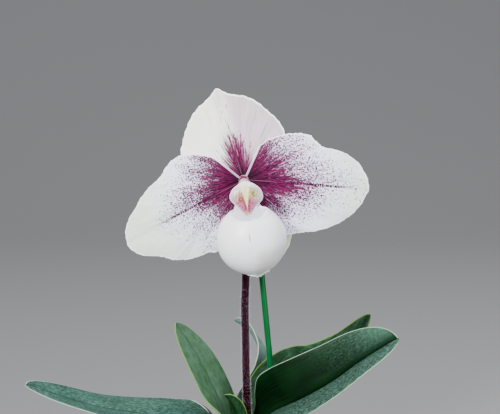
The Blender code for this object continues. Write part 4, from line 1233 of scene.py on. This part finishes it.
synsepal = tepal("synsepal", "sepal_cream", lower_skin, 0.0382, lower_outline, 278.6, base_depth=-0.0020,
                 sag=0.0034, keel=0.0006, ripple=0.0008, ripples=3.0, frill=[(268, 290, 0.0003)])


# Lip pouch
# The lip is blown up into a hollow pouch, open on top with a rolled rim, and narrow at its claw.
# Its skin is thin, waxy and pure white, with a faint crease down its front.
POUCH_CENTRE = (0.0031, -0.0226, 0.0160)
POUCH_RADII = (0.0129, 0.0130, 0.0122)
POUCH_WALL = 0.0008
POUCH_REACH = 0.0128
POUCH_TALL_MM = 13.0
POUCH_ROW_EASE = 0.9
POUCH_POLE = 0.002
POUCH_CREASE = 0.020
CREASE_HALF_WIDTH = 0.05
CREASE_MIDDLE = 1.25
CREASE_SPAN = 0.65
POUCH_RUCK = 0.003
RIM_NECK = 0.020
RIM_ROLL = 0.0008
RIM_BEAD = 0.0006
RIM_END_SHARE = 0.35
MOUTH_TILT = math.radians(16.0)
MOUTH_LEAN = math.radians(-6.0)
MOUTH_HALF_WIDTH = math.radians(31.0)
MOUTH_HALF_LENGTH = math.radians(41.0)
CLAW_TILT = math.radians(41.0)
CLAW_RISE = 0.64
CLAW_SPREAD = math.radians(12.0)

# The emission set here is painted light inside the pouch.
pouch_skin = Finish("pouch_skin", 0.36, Specular_IOR_Level=0.30, Subsurface_Weight=0.25,
                    Subsurface_Scale=0.002, Subsurface_Radius=(1.0, 0.95, 0.95), Coat_Weight=0.12,
                    Coat_Roughness=0.3, Emission_Strength=0.45)
height = pouch_skin.read("height")
spread = pouch_skin.read("spread")
grain = pouch_skin.noise(pouch_skin.place(), 420.0, 3.0)
veins = pouch_skin.noise(pouch_skin.vector(spread * 3.0, height * 0.25), 1.0, 2.0)
# Painted shade: the pouch's white greys towards its bottom, where less light falls.
pouch_skin.tone = pouch_skin.blend(height.ramp(-2.0, -12.0) * 0.6, shade(250, 251, 255), shade(226, 226, 224))
stipple = pouch_skin.noise(pouch_skin.place(), 2300.0, 2.0).ramp(0.50, 0.62)
outer_side = pouch_skin.read("front").ramp(0.3, 0.7)
stipple = stipple * (1.0 - outer_side) + outer_side * 0.20
# Grey stipple just inside the mouth's rim: partly the fine hairs there and partly painted shade under the
# rim.
furred_and_shaded = stipple * height.ramp(8.8, 10.0)
pouch_skin.over(furred_and_shaded * 0.80, shade(120, 116, 136))
# Painted shade: a warm grey on the lower right of the pouch, the side turned away from the light.
lower_right_shade = (abs(spread - 0.85) + 0.5 * (grain - 0.5)).ramp(0.80, 0.35) * height.ramp(1.5, -3.5)
pouch_skin.over(lower_right_shade * 0.55, shade(186, 182, 170))
# Painted shade along the front crease: a faint bluish grey low down and a darker grey dash above it.
fold = abs(spread - 1.59).ramp(0.07, 0.0) * height.ramp(3.0, 0.5)
pouch_skin.over(fold * 0.6, shade(246, 246, 252))
crease_shade_dash = abs(spread - 1.59).ramp(0.026, 0.006) * height.ramp(2.8, 3.4) * height.ramp(6.0, 5.4)
pouch_skin.over(crease_shade_dash * 0.75, shade(128, 122, 134))
pouch_skin.paint(pouch_skin.tone)
# Painted light: the inner side glows, dimmer and greyer towards the rim and under the stipple, standing in
# for light that comes through the thin wall. The outer side does not glow.
painted_inner_light = pouch_skin.blend(height.ramp(8.5, 9.8), shade(236, 238, 248), shade(150, 152, 170))
painted_inner_light = pouch_skin.blend(furred_and_shaded * 0.80, painted_inner_light, shade(60, 60, 74))
painted_inner_light = pouch_skin.blend(outer_side, painted_inner_light, (0.0, 0.0, 0.0))
pouch_skin.feed(pouch_skin.shader.inputs["Emission Color"], painted_inner_light)
pouch_skin.relief(veins * 0.5 + grain * 0.3, 0.00016)

ahead = np.array((0.0, -math.sin(MOUTH_TILT), math.cos(MOUTH_TILT)))
mouth = np.array((math.sin(MOUTH_LEAN), math.cos(MOUTH_LEAN) * math.cos(MOUTH_TILT),
                  math.cos(MOUTH_LEAN) * math.sin(MOUTH_TILT)))
beside = np.cross(mouth, ahead)
claw = np.array((math.sin(MOUTH_LEAN), math.cos(CLAW_TILT), -math.sin(CLAW_TILT)))
pouch_rows, pouch_columns = 84, 96
pouch_grid = np.zeros((pouch_rows, pouch_columns, 3))
pouch_height = np.zeros((pouch_rows, pouch_columns))
pouch_spread = np.zeros((pouch_rows, pouch_columns))
pouch_thick = np.zeros((pouch_rows, pouch_columns))
for i in range(pouch_rows):
    for j in range(pouch_columns):
        around = math.tau * j / pouch_columns
        opening = 1.0 / math.hypot(math.cos(around) / MOUTH_HALF_WIDTH, math.sin(around) / MOUTH_HALF_LENGTH)
        share = (i / (pouch_rows - 1)) ** POUCH_ROW_EASE
        polar = (math.pi - opening) * max(share, POUCH_POLE)
        across = math.cos(around) * beside + math.sin(around) * ahead
        direction = math.sin(polar) * across - math.cos(polar) * mouth
        off_claw = math.acos(min(max(float(direction @ claw), -1.0), 1.0))
        rise = 1.0 + CLAW_RISE * math.exp(-(off_claw / CLAW_SPREAD) ** 2 / 2)
        if math.sin(around) > 0:
            off_crease = (around - math.pi / 2) * math.sin(polar)
            crease = math.exp(-(off_crease / CREASE_HALF_WIDTH) ** 2) * math.sin(polar) ** 2
            rise -= POUCH_CREASE * crease * math.exp(-((polar - CREASE_MIDDLE) / CREASE_SPAN) ** 2)
        rise += POUCH_RUCK * math.sin(3.0 * around + 5.0 * polar) * math.sin(polar)
        to_rim = (math.pi - opening) * (1.0 - share) * POUCH_REACH
        rise -= RIM_NECK * math.exp(-(to_rim / RIM_ROLL) ** 2)
        spot = [POUCH_CENTRE[k] + POUCH_RADII[k] * rise * direction[k] for k in range(3)]
        pouch_grid[i, j] = flower_point(*spot)
        pouch_height[i, j] = float(direction @ mouth) * POUCH_TALL_MM
        pouch_spread[i, j] = around
        pouch_thick[i, j] = POUCH_WALL * (0.7 + 0.55 * math.exp(-((to_rim - RIM_BEAD) / RIM_BEAD) ** 2))
pouch_thick[-1] *= RIM_END_SHARE
pouch = sheet("pouch", pouch_grid, pouch_thick, pouch_skin, ["pouch"], "pouch_white",
              {"height": pouch_height, "spread": pouch_spread}, wrapped=True)


# Column with its shield
# The flower's male and female parts, fused in a short stub that carries a rounded shield.
# The shield is whitish, with a cream stripe, green and brown dashes and pink netted lower lobes.
SHIELD_CENTRE = (0.00115, -0.0072)
SHIELD_BACK = 0.0128
SHIELD_EDGE = 0.0009
SHIELD_BULGE = 0.0014
SHIELD_BEAD = 0.955
COLUMN_SIDES = 96
COLUMN_RADIUS = 0.0024
COLUMN_CENTRE = (0.0004, -0.0018)
KNOB_AT = (0.0024, -0.0026)
KNOB_HEIGHT = 0.0004
KNOB_WIDTH = 0.0018
VALLEY_DEPTH = 0.00035
VALLEY_WIDTH = 0.0007
VALLEY_AT = 0.0001
VALLEY_FOOT = -0.0052
VALLEY_FOOT_SHARE = 0.3
SHIELD_INSET = 0.0001
SWELL_FADE = 0.15
FRONT_FROM = 0.0005

shield_skin = Finish("shield_skin", 0.34, Specular_IOR_Level=0.4, Subsurface_Weight=0.08,
                     Subsurface_Scale=0.0005, Coat_Weight=0.2, Coat_Roughness=0.25)
right, up = shield_skin.read("right"), shield_skin.read("up")
rim, front = shield_skin.read("rim"), shield_skin.read("front")
net = shield_skin.cells(shield_skin.vector(right, up), 2.2, 0, "DISTANCE_TO_EDGE").ramp(0.12, 0.02)
clouds = shield_skin.noise(shield_skin.vector(right, up), 0.9, 3.0)
lobes = (up + 0.55 * abs(right - 0.4) + 3.2 * (clouds - 0.5)).ramp(2.6, -0.8) * rim.ramp(0.97, 0.74)
dashes = shield_skin.noise(shield_skin.vector(right * 1.6, up * 0.7, 5.0), 1.1, 3.0, 0.7)
shield_skin.tone = shield_skin.blend(clouds.ramp(0.3, 0.7), shade(206, 198, 196), shade(192, 164, 178))
speck = shield_skin.noise(shield_skin.vector(right, up), 2.2, 3.0, 0.7)
shield_skin.over(speck.ramp(0.46, 0.58) * 0.75 * rim.ramp(1.02, 0.85), shade(142, 92, 120))
shield_skin.over(lobes * 0.90, shade(164, 40, 88))
shield_skin.over(lobes * speck.ramp(0.54, 0.44) * 0.7, shade(222, 154, 190))
shield_skin.over(lobes * net * 0.95, shade(64, 0, 28))
for centre_right, centre_up, size, flush, dark in ((-2.4, 0.6, 2.1, shade(176, 112, 66), shade(84, 18, 10)),
                                                   (2.3, 1.7, 2.3, shade(164, 166, 40), shade(84, 50, 0))):
    gap = ((right - centre_right) ** 2.0 + ((up - centre_up) * 0.70) ** 2.0) ** 0.5
    patch = (gap + 6.0 * (dashes - 0.5)).ramp(size, size * 0.4)
    shield_skin.over(patch * 0.70, flush)
    shield_skin.over((gap + 11.0 * (dashes - 0.40)).ramp(size * 0.9, size * 0.3) * 0.85, dark)
stripe_half = up.ramp(-4.4, 3.0) * 1.35 + 0.12
off_stripe = abs(right + 0.1 + up * 0.13)
stripe = (off_stripe / stripe_half).ramp(1.0, 0.45) * up.ramp(-4.6, -3.0)
flank = abs(off_stripe - stripe_half - 0.45).ramp(0.55, 0.15) * up.ramp(1.4, -0.6)
flank = flank * dashes.ramp(0.62, 0.44) * rim.ramp(0.95, 0.8)
shield_skin.over(flank * 0.90, shade(120, 4, 48))
shield_skin.over(stripe * 0.90, shade(236, 224, 146))
shield_skin.over(up.ramp(3.6, 5.6), shade(236, 240, 226))
shield_skin.over(rim.ramp(0.88, 0.97) * 0.8, shade(236, 222, 228))
tip = (abs(right) ** 2.0 + (up + 5.6) ** 2.0) ** 0.5
shield_skin.over(tip.ramp(1.5, 0.4) * 0.70, shade(206, 146, 108))
shield_skin.over(front.ramp(0.6, 0.3), shade(206, 170, 178))
shield_skin.paint(shield_skin.tone)
shield_skin.relief(clouds * 0.5 + net * 0.3 + stripe * 0.4, 0.0003)

shield_outline = [(-90, 6.8), (-80, 6.6), (-65, 5.7), (-42, 4.9), (-20, 5.2), (0, 6.2), (30, 6.4), (60, 6.2),
                  (82, 6.4), (98, 6.6), (120, 6.1), (150, 6.3), (180, 6.3), (200, 5.4), (214, 4.9),
                  (228, 4.9), (245, 5.3), (260, 6.2), (270, 6.8)]
edge_angles = [math.radians(a) for a, _ in shield_outline]
edge_reaches = [r * 0.001 for _, r in shield_outline]
stub_rings = [(0.8, 0.0013, 0.0), (1.0, 0.0016, 0.0), (0.96, 0.0040, 0.05), (0.90, 0.0080, 0.15),
              (0.92, 0.0100, 0.35), (0.95, 0.0112, 0.55)]
shield_rings = [(0.93, 0.0), (0.975, 0.00008), (0.995, 0.00030), (1.0, 0.00055), (0.985, 0.00078),
                (SHIELD_BEAD, 0.00092)]
shield_rings += [(float(s), SHIELD_EDGE + SHIELD_BULGE * float((1.0 - (s / SHIELD_BEAD) ** 2) ** 0.8))
                 for s in np.linspace(0.93, 0.03, 26)]
column_turns = [math.tau * j / COLUMN_SIDES - math.pi / 2 for j in range(COLUMN_SIDES)]
column_vertices = []
column_marks = {"right": [], "up": [], "rim": [], "front": []}


def column_point(u, v, w, *marks):
    """Add one point of the column, and what its skin reads there."""
    column_vertices.append(flower_point(u, v, w))
    for values, mark in zip(column_marks.values(), marks):
        values.append(mark)


column_point(*COLUMN_CENTRE, stub_rings[0][1], 0.0, 0.0, 0.0, 0.0)
for scale, depth, drift in stub_rings:
    u, v = [c + drift * (s - c) for c, s in zip(COLUMN_CENTRE, SHIELD_CENTRE)]
    reach = COLUMN_RADIUS * scale
    for angle in column_turns:
        column_point(u + reach * math.cos(angle), v + reach * math.sin(angle), depth, 0.0, 0.0, 0.0, 0.0)
for scale, rise in shield_rings:
    for angle in column_turns:
        reach = float(through(edge_angles, edge_reaches, angle)) * scale
        u, v = reach * math.cos(angle), reach * math.sin(angle)
        swell = -VALLEY_DEPTH * math.exp(-((u - VALLEY_AT) / VALLEY_WIDTH) ** 2)
        swell *= 1.0 if v > VALLEY_FOOT else VALLEY_FOOT_SHARE
        for knob in (-KNOB_AT[0], KNOB_AT[0]):
            swell += KNOB_HEIGHT * math.exp(-((u - knob) ** 2 + (v - KNOB_AT[1]) ** 2) / KNOB_WIDTH ** 2)
        swell *= min((1.0 - scale) / SWELL_FADE, 1.0)
        column_point(SHIELD_CENTRE[0] + u, SHIELD_CENTRE[1] + v, SHIELD_BACK + rise + swell - SHIELD_INSET,
                     u * 1000.0, v * 1000.0, scale, 1.0 if rise > FRONT_FROM else 0.0)
column_point(*SHIELD_CENTRE, SHIELD_BACK + SHIELD_EDGE + SHIELD_BULGE * 0.85, 0.0, 0.0, 0.0, 1.0)
column_faces = pole_to_pole(len(stub_rings) + len(shield_rings), COLUMN_SIDES)
column = piece("column", column_vertices, column_faces, shield_skin, ["column"], "column_pink", 60.0,
               column_marks)
